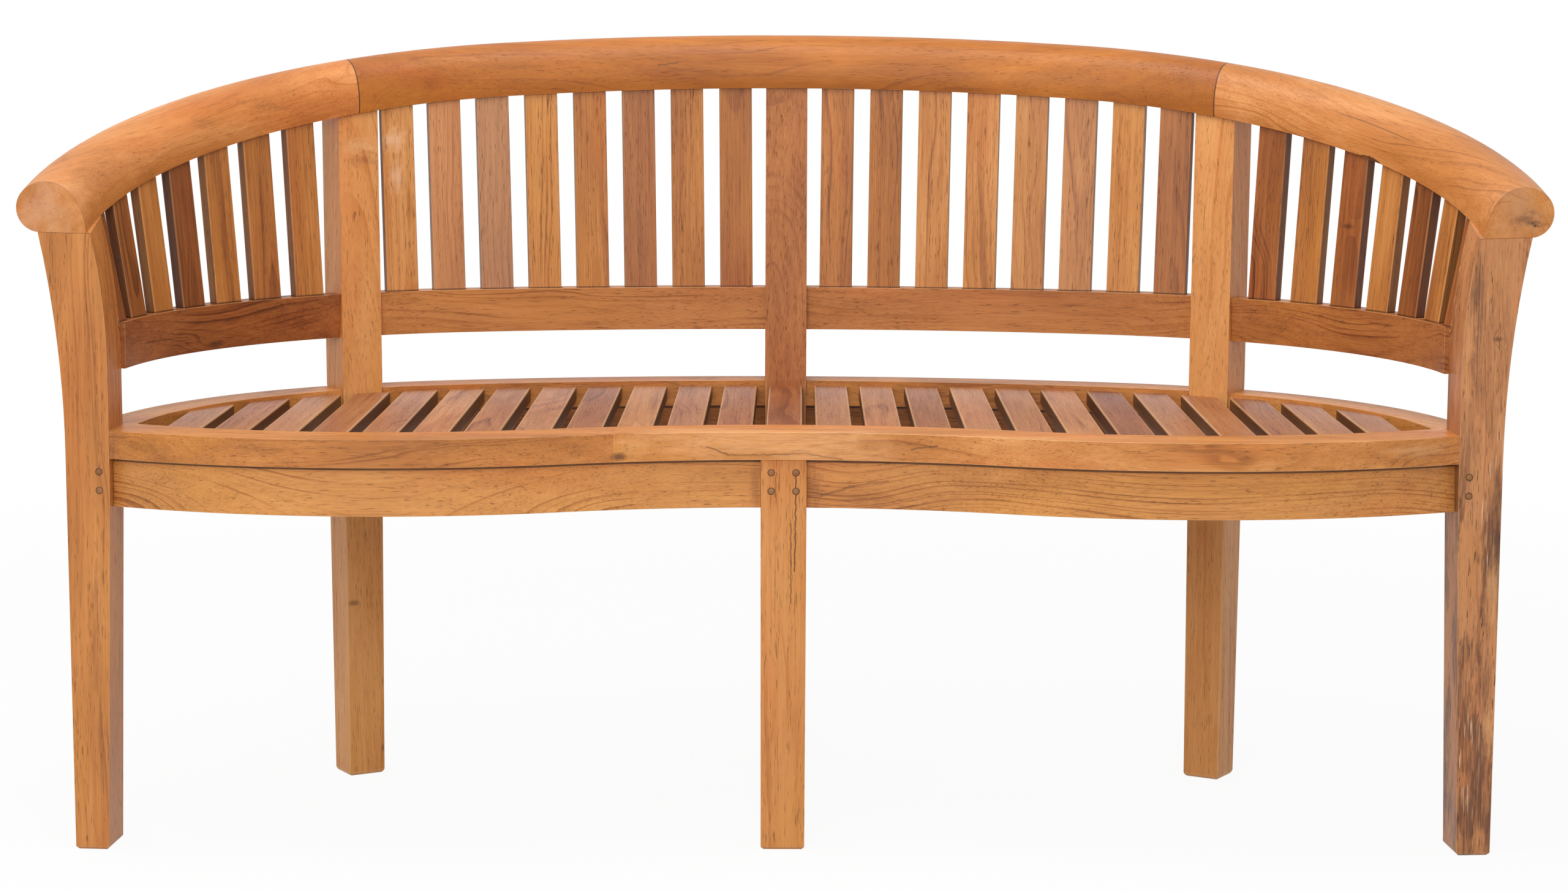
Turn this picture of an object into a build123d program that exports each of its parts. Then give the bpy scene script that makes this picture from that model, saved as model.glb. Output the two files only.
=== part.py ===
from build123d import *
import math
import os

os.makedirs("parts", exist_ok=True)

# Curved teak garden bench, three-seater, in millimetres and degrees.
# While it is modelled, y is zero at the front face of the middle front leg.

# front legs: the side ones taper in below the seat and flare out to the arms
front_leg_inner = 724.0
front_leg_front = 14.0
front_leg_depth = 55.0
front_leg_foot_width = 36.5
front_leg_seat_width = 47.3
front_leg_taper = 9.5
front_leg_turn = 4.7
inner_flare_rise = 65.0
inner_flare_radius = 700.0
outer_flare_rise = 29.0
outer_flare_radius = 1186.0
middle_leg_width = 49.0
middle_leg_foot_width = 47.0
foot_chamfer = 3.0

# back legs: each stands straight at the seat, with its foot forward and its head leant back
post_width = 49.0
post_depth = 49.0
post_foot_width = 45.0
post_foot_depth = 42.0
post_foot_forward = 18.0
side_post_heading = 30.6
side_post_lean_heading = 10.0
side_post_spread_angle = 30.6

# seat frame
seat_height = 455.0
rim_thick = 30.0
front_rim_depth = 60.0
back_rim_depth = 45.0
seat_back = 505.0
seat_back_radius = 1483.0
seat_turn = 16.0
seat_beyond_leg = 17.5
front_dip_radius = 705.0
front_lobe_radius = 623.0
lobe_inside_leg = 284.0
lobe_end_angle = 34.0
rim_overhang = 3.0
front_joint_offset = 180.0

# aprons and stretcher below the seat
apron_height = 53.0
apron_thick = 22.0
front_apron_inset = 13.0
side_apron_inset = 6.0
stretcher_width = 22.0

# seat slats
seat_slat_pairs_count = 12
seat_slat_width = 39.0
seat_slat_pitch = 53.5
seat_slat_thick = 18.0
seat_slat_drop = 1.5
seat_slat_slope = 0.65
tongue_thick = 8.0
tongue_length = 10.0
tongue_shoulder = 3.0
slat_end_gap = 0.4

# lower back rail
lower_rail_rise = 60.0
lower_rail_height = 50.0
lower_rail_thick = 28.0
lower_rail_back = 474.0
lower_rail_back_radius = 1500.0
lower_rail_turn = 14.2
lower_rail_inside_leg = 16.3

# top rail, laid out in a plane that slopes down to the front
top_rail_rise = 212.4
top_rail_slope_share = 0.27
top_rail_back = 508.6
top_rail_back_radius = 1555.0
top_rail_turn = 12.2
top_rail_beyond_leg = 10.0
rail_width = 74.5
rail_thick = 51.5
flat_share = 0.72
nose_height_share = 0.52
crown_out_share = 0.868
crown_out_height_share = 0.847
crown_share = 0.54
crown_in_share = 0.195
crown_in_height_share = 0.75

# back and arm slats
back_slat_count = 8
arm_slat_count = 6
slat_width = 38.3
end_slat_width = 22.0
slat_thick = 12.5
slat_setback = 3.0
slat_inset_in_rail = 5.0
slat_housing = 9.0

# clear widths left beside the slats: at the middle leg, on both sides of the side back leg,
# and at the front leg, first along the lower rail and then along the top rail
low_gap_middle = 15.0
low_gap_inside = 12.5
low_gap_outside = 17.0
low_gap_front = 4.5
top_gap_middle = 17.0
top_gap_inside = 10.5
top_gap_outside = 28.0
top_gap_front = 8.0

# joints
fit_gap = 0.2
tenon_length = 16.0
leg_tenon_length = 24.0
rim_stub_length = 7.0
tenon_thick = 12.0
tenon_shoulder = 8.0
head_tenon_width = 28.0
head_tenon_thick = 16.0
head_tenon_height = 18.0
dowel_radius = 6.0
dowel_length = 50.0
peg_radius = 3.9
peg_gap = 0.1
peg_length = 32.0
peg_from_edge = 11.3
peg_below_seat = 44.0
peg_spacing = 20.0
overrun = 300.0

# heights and tilts that follow from these
rim_low = seat_height - rim_thick
apron_low = rim_low - apron_height
lower_rail_low = seat_height + lower_rail_rise
lower_rail_top = lower_rail_low + lower_rail_height
rail_low = seat_height + top_rail_rise
rail_tilt = math.degrees(math.atan(top_rail_slope_share))
rail_plane = Plane(origin=(0, 0, rail_low), x_dir=(1, 0, 0), z_dir=(0, -top_rail_slope_share, 1))


def sin(angle):
    return math.sin(math.radians(angle))


def cos(angle):
    return math.cos(math.radians(angle))


# A line in plan is a wide arc across the back that runs into a tighter arc on each side.
# Its heading is zero in the middle of the back and grows clockwise to the right arm.
# The tighter arc is as wide as it must be to reach the given half width.
def plan_line(back, back_radius, turn, half_width):
    side_radius = (half_width - back_radius * sin(turn)) / (1 - sin(turn))
    return back, back_radius, turn, side_radius


seat_line = plan_line(seat_back, seat_back_radius, seat_turn, front_leg_inner + seat_beyond_leg)
lower_line = plan_line(lower_rail_back, lower_rail_back_radius, lower_rail_turn,
                       front_leg_inner - lower_rail_inside_leg)
top_line = plan_line(top_rail_back, top_rail_back_radius, top_rail_turn,
                     front_leg_inner + top_rail_beyond_leg)


def arc_of(line, heading):
    back, back_radius, turn, side_radius = line
    if abs(heading) <= turn:
        return (0, back - back_radius), back_radius
    side = math.copysign(1, heading)
    reach = back_radius - side_radius
    return (side * reach * sin(turn), back - back_radius + reach * cos(turn)), side_radius


def point_on(line, heading, offset=0):
    centre, radius = arc_of(line, heading)
    return (centre[0] + (radius + offset) * sin(heading), centre[1] + (radius + offset) * cos(heading))


def heading_at_x(line, x):
    back, back_radius, turn, side_radius = line
    if x <= back_radius * sin(turn):
        return math.degrees(math.asin(x / back_radius))
    return math.degrees(math.asin((x - (back_radius - side_radius) * sin(turn)) / side_radius))


# length along a line from the middle of the back, and the heading at such a length
def run_length(line, heading):
    return math.radians(min(heading, line[2])) * line[1] + math.radians(max(heading - line[2], 0)) * line[3]


def heading_at_run(line, length):
    straight = math.radians(line[2]) * line[1]
    if length <= straight:
        return math.degrees(length / line[1])
    return line[2] + math.degrees((length - straight) / line[3])


def stretches(line, start, end):
    cuts = [start] + [turn for turn in (-line[2], line[2]) if start < turn < end] + [end]
    return list(zip(cuts[:-1], cuts[1:]))


def curve_along(line, start, end, offset, z):
    edges = []
    for first, last in stretches(line, start, end):
        centre, radius = arc_of(line, (first + last) / 2)
        places = [(centre[0] + (radius + offset) * sin(h), centre[1] + (radius + offset) * cos(h), z)
                  for h in (first, (first + last) / 2, last)]
        edges.append(Edge.make_three_point_arc(*places))
    return edges


def closed_face(near, far):
    ends = [Edge.make_line(near[0] @ 0, far[0] @ 0), Edge.make_line(near[-1] @ 1, far[-1] @ 1)]
    return Face(Wire(near + far + ends))


def band(line, start, end, inner, outer, low, height):
    face = closed_face(curve_along(line, start, end, inner, low), curve_along(line, start, end, outer, low))
    return Solid.extrude(face, Vector(0, 0, height))


# The front edge of the seat dips in at the middle and swells into a lobe on each side.
lobe_spread = front_leg_inner - lobe_inside_leg
dip_centre_y = -rim_overhang - front_dip_radius
lobe_centre_y = dip_centre_y + math.sqrt((front_dip_radius + front_lobe_radius) ** 2 - lobe_spread ** 2)
swing = math.degrees(math.atan2(lobe_spread, lobe_centre_y - dip_centre_y))


def front_curve(offset, z):
    def arc(x, y, radius, start, end):
        places = [(x + radius * sin(a), y + radius * cos(a), z) for a in (start, (start + end) / 2, end)]
        return Edge.make_three_point_arc(*places)

    lobe = offset - front_lobe_radius
    return [arc(-lobe_spread, lobe_centre_y, lobe, lobe_end_angle, -swing),
            arc(0, dip_centre_y, front_dip_radius + offset, -swing, swing),
            arc(lobe_spread, lobe_centre_y, lobe, swing, -lobe_end_angle)]


def front_edge_y(x, offset=0):
    dip = front_dip_radius + offset
    if abs(x) < dip * sin(swing):
        return dip_centre_y + math.sqrt(dip ** 2 - x ** 2)
    return lobe_centre_y - math.sqrt((front_lobe_radius - offset) ** 2 - (abs(x) - lobe_spread) ** 2)


def front_band(near, far, low, height):
    return Solid.extrude(closed_face(front_curve(near, low), front_curve(far, low)), Vector(0, 0, height))


def block(plane, x_range, y_range, z_range):
    size = [b - a for a, b in (x_range, y_range, z_range)]
    middle = [(a + b) / 2 for a, b in (x_range, y_range, z_range)]
    return plane.location * Pos(*middle) * Box(*size)


# a box that is pushed over: its section stays level while it climbs by the vector
def sheared_block(plane, x_range, y_range, low, climb):
    corners = [(x, y, low) for x, y in zip((x_range[0], x_range[1], x_range[1], x_range[0]),
                                           (y_range[0], y_range[0], y_range[1], y_range[1]))]
    face = Face(Wire.make_polygon([plane.from_local_coords(Vector(*c)) for c in corners], close=True))
    return Solid.extrude(face, climb)


def over_rail(depth=0):
    return block(rail_plane, (-4 * overrun, 4 * overrun), (-2 * overrun, 4 * overrun), (depth, 2 * overrun))


def mirrored(solid):
    return solid.mirror(Plane.YZ)


def one(shape):
    return max(shape.solids(), key=lambda solid: solid.volume)


def rail_height(y):
    return rail_low + top_rail_slope_share * y


# a place on the inner lower edge of the top rail, moved outwards by the offset
def rail_edge(heading, offset=0):
    x, run = point_on(top_line, heading, offset)
    y = run * cos(rail_tilt)
    return Vector(x, y, rail_height(y))


# A local plane that stands on a line: x runs along it to the right, y points outwards, z is up.
def stand(place, heading):
    return Plane(origin=(place[0], place[1], 0), x_dir=(cos(heading), -sin(heading), 0), z_dir=(0, 0, 1))


# A straight line from a place leaves at the given heading. This finds where the rail's edge meets it.
def rail_edge_ahead(place, lean_heading):
    low, high = lean_heading - 60, lean_heading + 60
    while high - low > 1e-9:
        trial = (low + high) / 2
        edge = rail_edge(trial, slat_setback)
        side = (edge.X - place.X) * cos(lean_heading) - (edge.Y - place.Y) * sin(lean_heading)
        low, high = (trial, high) if side < 0 else (low, trial)
    return rail_edge(low, slat_setback)


# a level rectangle in a leg's plane, at a height, drawn in from its edges by an inset
def level_wire(plane, width, depth, middle_y, z, inset=0):
    half_x = width / 2 - inset
    half_y = depth / 2 - inset
    corners = ((-half_x, -half_y), (half_x, -half_y), (half_x, half_y), (-half_x, half_y))
    return Wire.make_polygon([plane.from_local_coords(Vector(x, middle_y + y, z)) for x, y in corners],
                             close=True)


# Back legs. Each has its plane, its body, and the climb from the seat to the head.
def make_post(heading, spread_angle, lean_heading):
    plane = stand(point_on(seat_line, spread_angle), heading)
    front = plane.from_local_coords(Vector(0, -post_depth, seat_height))
    climb = rail_edge_ahead(front, lean_heading) - front
    over = climb * ((climb.Z + rail_thick) / climb.Z)
    forward = Vector(sin(lean_heading), cos(lean_heading), 0) * -post_foot_forward
    foot = Plane(origin=plane.origin + forward, x_dir=plane.x_dir, z_dir=(0, 0, 1))
    half_depth = -post_depth / 2
    leg = Solid.make_loft([level_wire(foot, post_foot_width, post_foot_depth, half_depth, 0, foot_chamfer),
                           level_wire(foot, post_foot_width, post_foot_depth, half_depth, foot_chamfer),
                           level_wire(plane, post_width, post_depth, half_depth, seat_height)], ruled=True)
    back = sheared_block(plane, (-post_width / 2, post_width / 2), (-post_depth, 0), seat_height, over)
    return plane, one(leg + (back - over_rail())), climb


def lean_at(climb, z):
    return climb * ((z - seat_height) / climb.Z)


# a tenon on the head of a leg, square to the underside of the top rail
def head_tenon(place, across, gap=0):
    flat = across - rail_plane.z_dir * across.dot(rail_plane.z_dir)
    seat = Plane(origin=place, x_dir=flat, z_dir=rail_plane.z_dir)
    half_width = head_tenon_width / 2 + gap
    half_thick = head_tenon_thick / 2 + gap
    return block(seat, (-half_width, half_width), (-half_thick, half_thick),
                 (-head_tenon_height, head_tenon_height + 2 * gap))


def head_place(plane, y, climb):
    start = plane.from_local_coords(Vector(0, y, seat_height))
    rise = (rail_height(start.Y) - seat_height) / (climb.Z - top_rail_slope_share * climb.Y)
    return start + climb * rise


middle_plane, middle_post, middle_climb = make_post(0, 0, 0)
side_plane, side_post, side_climb = make_post(side_post_heading, side_post_spread_angle, side_post_lean_heading)
middle_head = head_place(middle_plane, -post_depth / 2, middle_climb)
side_head = head_place(side_plane, -post_depth / 2, side_climb)

# front side leg
leg_plane = Plane(origin=(front_leg_inner, -front_leg_front, 0),
                  x_dir=(cos(front_leg_turn), sin(front_leg_turn), 0), z_dir=(0, 0, 1))
taper_height = (apron_low + rim_low) / 2
inner_flare_start = seat_height + inner_flare_rise
outer_flare_start = taper_height + outer_flare_rise


def flare(x, start, radius, height):
    return x + radius - math.sqrt(radius ** 2 - (height - start) ** 2)


def inner_side(height):
    return flare(-front_leg_taper, inner_flare_start, inner_flare_radius, height)


def outer_side(height):
    return flare(front_leg_seat_width - front_leg_taper, outer_flare_start, outer_flare_radius, height)


def side_leg_outline():
    top = rail_low + front_leg_depth / 2
    inner = [(inner_side(z), z) for z in (top, (inner_flare_start + top) / 2, inner_flare_start)]
    outer = [(outer_side(z), z) for z in (outer_flare_start, (outer_flare_start + top) / 2, top)]
    return make_face([Line((0, 0), (front_leg_foot_width, 0)),
                      Line((front_leg_foot_width, 0), outer[0]),
                      ThreePointArc(*outer),
                      Line(outer[2], inner[0]),
                      ThreePointArc(*inner),
                      Line(inner[2], (-front_leg_taper, taper_height)),
                      Line((-front_leg_taper, taper_height), (0, 0))])


outline_plane = Plane(origin=leg_plane.origin, x_dir=leg_plane.x_dir, z_dir=-leg_plane.y_dir)
front_leg = extrude(outline_plane * side_leg_outline(), -front_leg_depth)
front_leg = chamfer(front_leg.faces().sort_by(Axis.Z)[0].edges(), foot_chamfer) - over_rail()
leg_head_x = (inner_side(rail_low) + outer_side(rail_low)) / 2
leg_head = leg_plane.from_local_coords(Vector(leg_head_x, front_leg_depth / 2, 0))
leg_head = Vector(leg_head.X, leg_head.Y, rail_height(leg_head.Y))

# middle front leg, under the rim
half_leg = middle_leg_width / 2
half_foot = middle_leg_foot_width / 2
middle_outline = Polyline((-half_foot, 0), (half_foot, 0), (half_leg, apron_low), (half_leg, rim_low),
                          (-half_leg, rim_low), (-half_leg, apron_low), close=True)
middle_leg = extrude(Plane.XZ * make_face(middle_outline), -middle_leg_width)
middle_leg = chamfer(middle_leg.faces().sort_by(Axis.Z)[0].edges(), foot_chamfer)


# top rail: a flat-bottomed, round-nosed section carried round the back and arms
def rail_section():
    flat = (flat_share * rail_width, 0)
    nose = (rail_width, nose_height_share * rail_thick)
    crown_out = (crown_out_share * rail_width, crown_out_height_share * rail_thick)
    crown = (crown_share * rail_width, rail_thick)
    crown_in = (crown_in_share * rail_width, crown_in_height_share * rail_thick)
    dome = ThreePointArc(crown_out, crown, crown_in)
    inside = TangentArc(crown_in, (0, 0), tangent=dome % 1)
    return make_face([Line((0, 0), flat), ThreePointArc(flat, nose, crown_out), dome, inside])


def rail_sweep(start, end):
    whole = None
    for first, last in stretches(top_line, start, end):
        centre, radius = arc_of(top_line, (first + last) / 2)
        place = (centre[0] + radius * sin(first), centre[1] + radius * cos(first), 0)
        section = Plane(origin=place, x_dir=(sin(first), cos(first), 0), z_dir=(cos(first), -sin(first), 0))
        turned = revolve(section * rail_section(), Axis((centre[0], centre[1], 0), (0, 0, -1)), last - first)
        whole = turned if whole is None else whole + turned
    return rail_plane.location * whole


ahead_of_legs = block(leg_plane, (-2 * overrun, overrun), (-overrun, 0), (-overrun, 4 * overrun))
joint_plane = Plane(origin=side_head, x_dir=side_plane.x_dir, z_dir=(0, 0, 1))
arm_side = block(joint_plane, (0, 2 * overrun), (-4 * overrun, overrun), (-2 * overrun, 2 * overrun))
right_half = block(Plane.XY, (0, 4 * overrun), (-2 * overrun, 4 * overrun), (-overrun, 4 * overrun))
right_rail = rail_sweep(0, 90 + side_post_lean_heading) - ahead_of_legs
arm_rail = one(right_rail & arm_side)
half_rail = one(right_rail - arm_side)
centre_rail = half_rail + mirrored(half_rail)


# blind dowel across each joint of the top rail
def rail_dowel(gap):
    outwards = joint_plane.y_dir * ((rail_width - post_depth) / 2)
    middle = side_head + outwards + Vector(0, 0, rail_thick / 2)
    along = Plane(origin=middle, x_dir=(0, 0, 1), z_dir=joint_plane.x_dir)
    return along.location * Cylinder(dowel_radius + gap, dowel_length + 2 * gap)


# Slats stand in the lower rail and run up to the top rail. The gaps between them are even along
# both, between clear widths at the legs on either side. A narrow one ends the row at the front leg.
back_widths = [slat_width] * back_slat_count
arm_widths = [slat_width] * arm_slat_count + [end_slat_width]


def spaced(line, first, last, widths, clear_before, clear_after):
    place = run_length(line, first) + clear_before
    room = run_length(line, last) - clear_after - place
    gap = (room - sum(widths)) / (len(widths) - 1)
    headings = []
    for width in widths:
        headings.append(heading_at_run(line, place + width / 2))
        place += width + gap
    return headings


def upright_slat(low_heading, top_heading, width, gap=0):
    plane = stand(point_on(lower_line, low_heading, slat_inset_in_rail), low_heading)
    foot = plane.origin + Vector(0, 0, lower_rail_top)
    climb = rail_edge(top_heading, slat_setback) - foot
    depth = slat_housing + 2 * gap
    over = climb * ((climb.Z + depth + rail_thick) / climb.Z)
    sunk = stand(tuple(plane.origin - climb * (depth / climb.Z)), low_heading)
    board = sheared_block(sunk, (-width / 2 - gap, width / 2 + gap), (-gap, slat_thick + gap),
                          lower_rail_top - depth, over)
    return one(board - over_rail(depth))


def post_face_x(climb, z, side):
    shift = lean_at(climb, z)
    return shift.dot(side_plane.x_dir) + side * post_width / 2


# heading at which a line meets the plane x = given, in a back leg's own plane
def heading_in(plane, line, offset, x):
    low, high = 0.0, 90.0
    while high - low > 1e-9:
        trial = (low + high) / 2
        place = point_on(line, trial, offset)
        inside = plane.to_local_coords(Vector(place[0], place[1], 0)).X < x
        low, high = (trial, high) if inside else (low, trial)
    return low


# heading at which a line, moved out by the offset, meets the back face of the front side leg
def heading_at_leg(line, offset):
    low, high = 45.0, 120.0
    while high - low > 1e-9:
        trial = (low + high) / 2
        place = point_on(line, trial, offset)
        behind = leg_plane.to_local_coords(Vector(place[0], place[1], 0)).Y > front_leg_depth
        low, high = (trial, high) if behind else (low, trial)
    return low


# headings at which the slats' fronts would meet the legs, at both rails
low_half = heading_at_x(lower_line, half_leg)
low_inner, low_outer = [heading_in(side_plane, lower_line, 0, post_face_x(side_climb, lower_rail_top, side))
                        for side in (-1, 1)]
low_end = heading_at_leg(lower_line, slat_inset_in_rail)
top_half = heading_at_x(top_line, half_leg)
head_run = run_length(top_line, heading_at_x(top_line, side_head.X - post_depth / 2 * sin(side_post_heading)))
top_inner, top_outer = [heading_at_run(top_line, head_run + side * post_width / 2) for side in (-1, 1)]
top_end = heading_at_leg(top_line, slat_setback)
back_places = list(zip(spaced(lower_line, low_half, low_inner, back_widths, low_gap_middle, low_gap_inside),
                       spaced(top_line, top_half, top_inner, back_widths, top_gap_middle, top_gap_inside),
                       back_widths))
arm_places = list(zip(spaced(lower_line, low_outer, low_end, arm_widths, low_gap_outside, low_gap_front),
                      spaced(top_line, top_outer, top_end, arm_widths, top_gap_outside, top_gap_front),
                      arm_widths))
back_slats = [upright_slat(*place) for place in back_places]
arm_slats = [upright_slat(*place) for place in arm_places]
slat_pockets = [upright_slat(*place, fit_gap) for place in back_places + arm_places]

# curved rails, rims and aprons, cut to the legs that they meet
past_side = 90 + side_post_lean_heading
behind_leg = block(leg_plane, (-2 * overrun, 2 * overrun), (-2 * overrun, front_leg_depth),
                   (-overrun, 4 * overrun))
beyond_leg = block(leg_plane, (-front_leg_taper, overrun), (-overrun, 2 * overrun),
                   (-overrun, 4 * overrun))
under_rim = block(Plane.XY, (-half_leg, half_leg), (-2 * overrun, 2 * overrun), (-overrun, rim_low))

front_rims = front_band(0, front_rim_depth, rim_low, rim_thick)
front_rims = front_rims - beyond_leg - mirrored(beyond_leg)
front_aprons = front_band(front_apron_inset, front_apron_inset + apron_thick, apron_low, apron_height)
front_apron = one((front_aprons & right_half) - under_rim - front_leg)


# a back leg with a copy of it set back, so that no lip of a curved piece is left behind the leg
def set_back(post, heading):
    return post + Pos(post_depth / 2 * sin(heading), post_depth / 2 * cos(heading), 0) * post


middle_clear = set_back(middle_post, 0)
side_clear = set_back(side_post, side_post_heading)


def back_piece(line, inner, outer, low, height):
    return one(band(line, 0, side_post_heading, inner, outer, low, height) - middle_clear - side_clear)


def side_piece(line, inner, outer, low, height, front):
    whole = band(line, side_post_heading, past_side, inner, outer, low, height)
    return one(whole - behind_leg - side_clear - front)


lower_back = back_piece(lower_line, 0, lower_rail_thick, lower_rail_low, lower_rail_height)
lower_arm = side_piece(lower_line, 0, lower_rail_thick, lower_rail_low, lower_rail_height, front_rims)
back_rim = back_piece(seat_line, -back_rim_depth, 0, rim_low, rim_thick)
side_rim = side_piece(seat_line, -back_rim_depth, 0, rim_low, rim_thick, front_rims)
back_apron = back_piece(seat_line, -front_apron_inset - apron_thick, -front_apron_inset, apron_low,
                        apron_height)
side_apron = side_piece(seat_line, -side_apron_inset - apron_thick, -side_apron_inset, apron_low,
                        apron_height, front_aprons)


# A stub tenon at the end of a rail: it starts inside the rail and runs on into the leg.
# Its side is -1 where the leg lies to the left of the joint and 1 where it lies to the right.
def tenon(place, heading, side, length, thick, low, high, gap=0):
    ends = sorted((side * (length + gap), -side * length / 2))
    return block(stand(place, heading), ends, (-thick / 2 - gap, thick / 2 + gap), (low - gap, high + gap))


def tenon_pair(place, heading, side, length, thick, low, high):
    return [tenon(place, heading, side, length, thick, low, high, gap) for gap in (0, fit_gap)]


# the three tenons of a line at the back: into the middle leg, and into both sides of the side leg
def back_tenons(line, offset, low, high, thick):
    middle = (low + high) / 2
    lean = side_climb if middle > seat_height else Vector(0, 0, 1)
    pairs = [tenon_pair((half_leg, point_on(line, 0, offset)[1]), 0, -1, tenon_length, thick, low, high)]
    for side in (-1, 1):
        x = post_face_x(lean, middle, side)
        place = point_on(line, heading_in(side_plane, line, offset, x), offset)
        pairs.append(tenon_pair(place, side_post_heading, -side, tenon_length, thick, low, high))
    return pairs


# a tenon into the back face of the front side leg
def leg_back_tenon(line, offset, thick, low, high, length=tenon_length):
    place = point_on(line, heading_at_leg(line, offset), offset)
    return tenon_pair(place, 90 - front_leg_turn, 1, length, thick, low, high)


rail_tenon = (lower_rail_low + tenon_shoulder, lower_rail_top - tenon_shoulder)
rim_tenon = (rim_low + tenon_shoulder, seat_height - tenon_shoulder)
apron_tenon = (apron_low + tenon_shoulder, rim_low - tenon_shoulder)
rim_tenon_thick = 2 * tenon_thick
side_apron_middle = -side_apron_inset - apron_thick / 2
back_apron_middle = -front_apron_inset - apron_thick / 2
rail_tenons = back_tenons(lower_line, lower_rail_thick / 2, *rail_tenon, tenon_thick)
rim_tenons = back_tenons(seat_line, -back_rim_depth / 2, *rim_tenon, rim_tenon_thick)
back_apron_tenons = back_tenons(seat_line, back_apron_middle, *apron_tenon, tenon_thick)
side_apron_tenons = back_tenons(seat_line, side_apron_middle, *apron_tenon, tenon_thick)
rail_leg_tenon = leg_back_tenon(lower_line, lower_rail_thick - tenon_thick, tenon_thick, *rail_tenon)
apron_leg_tenon = leg_back_tenon(seat_line, side_apron_middle, tenon_thick, *apron_tenon)
rim_leg_tenon = leg_back_tenon(seat_line, -tenon_thick, tenon_thick, *rim_tenon, rim_stub_length)

# tenons of the front rim and the front aprons
leg_face_x = front_leg_inner - front_leg_taper
apron_middle = front_apron_inset + apron_thick / 2
rim_end = tenon_pair((leg_face_x, front_edge_y(leg_face_x, front_rim_depth / 2)), -front_leg_turn, 1,
                     leg_tenon_length, rim_tenon_thick, *rim_tenon)
apron_end = tenon_pair((leg_face_x, front_edge_y(leg_face_x, apron_middle)), -front_leg_turn, 1,
                       leg_tenon_length, tenon_thick, *apron_tenon)
apron_inner_end = tenon_pair((half_leg, front_edge_y(half_leg, apron_middle)), 0, -1, tenon_length,
                             tenon_thick, *apron_tenon)

# tenon on top of the middle front leg, in the rim
cap = [block(Plane.XY, (-tenon_thick - gap, tenon_thick + gap),
             (half_leg - tenon_thick / 2 - gap, half_leg + tenon_thick / 2 + gap),
             (rim_low - tenon_shoulder, rim_low + rim_thick / 2 + 2 * gap)) for gap in (0, fit_gap)]

# stretcher between the middle legs, with a tenon at each end
stretcher = block(Plane.XY, (-stretcher_width / 2, stretcher_width / 2), (middle_leg_width, seat_back),
                  (apron_low, rim_low))
stretcher = one(stretcher - middle_post)
stretcher_back = stretcher.bounding_box().max.Y
stretcher_tenons = [[block(Plane.XY, (-tenon_thick / 2 - gap, tenon_thick / 2 + gap),
                           (end - tenon_length - gap, end + tenon_length + gap),
                           (apron_tenon[0] - gap, apron_tenon[1] + gap)) for gap in (0, fit_gap)]
                    for end in (middle_leg_width, stretcher_back)]

# pegs through the fronts of the legs into the apron tenons
peg_heights = (seat_height - peg_below_seat, seat_height - peg_below_seat - peg_spacing)


def peg(plane, x, z, gap=0):
    length = peg_length + gap
    start = Plane(origin=plane.from_local_coords(Vector(x, 0, z)), x_dir=plane.x_dir, z_dir=plane.y_dir)
    return start.location * Pos(0, 0, length / 2) * Cylinder(peg_radius + gap, length)


peg_places = [(leg_plane, peg_from_edge - front_leg_taper), (Plane.XY, half_leg - peg_from_edge)]
pegs = [peg(plane, x, z) for plane, x in peg_places for z in peg_heights]
leg_peg_holes, middle_peg_holes = [[peg(plane, x, z, peg_gap) for z in peg_heights] for plane, x in peg_places]


# seat slats: each cut to the curves of the rims, with a tongue at both ends
def seat_well(grow):
    low = rim_low - overrun
    rise = Vector(0, 0, 3 * overrun)
    back = curve_along(seat_line, -past_side, past_side, grow - back_rim_depth, low)
    inside = Solid.extrude(Face(Wire(back + [Edge.make_line(back[-1] @ 1, back[0] @ 0)])), rise)
    front = front_curve(front_rim_depth - grow, low)
    left, right = front[0] @ 0, front[-1] @ 1
    corners = [left, Vector(left.X, 3 * overrun, low), Vector(right.X, 3 * overrun, low), right]
    lines = [Edge.make_line(a, b) for a, b in zip(corners[:-1], corners[1:])]
    return inside & Solid.extrude(Face(Wire(front + lines)), rise)


slat_plane = Plane(origin=(0, front_rim_depth - rim_overhang, seat_height - seat_slat_drop), x_dir=(1, 0, 0),
                   z_dir=(0, sin(seat_slat_slope), cos(seat_slat_slope)))


def seat_board(index, width, top, thick):
    x = index * seat_slat_pitch
    return block(slat_plane, (x - width / 2, x + width / 2), (-overrun, 2 * overrun), (-top - thick, -top))


well = seat_well(-slat_end_gap)
tongue_well = seat_well(tongue_length)
tongue_room = seat_well(tongue_length + fit_gap)
tongue_top = (seat_slat_thick - tongue_thick) / 2
tongue_width = seat_slat_width - 2 * tongue_shoulder
seat_slats = {}
tongue_holes = {}
for index in range(-seat_slat_pairs_count, seat_slat_pairs_count + 1):
    body = seat_board(index, seat_slat_width, 0, seat_slat_thick) & well
    slat = body + (seat_board(index, tongue_width, tongue_top, tongue_thick) & tongue_well)
    seat_slats[index] = one(slat - middle_post - side_post - mirrored(side_post))
    tongue_holes[index] = tongue_room & seat_board(index, tongue_width + 2 * fit_gap, tongue_top - fit_gap,
                                                   tongue_thick + 2 * fit_gap)

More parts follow.
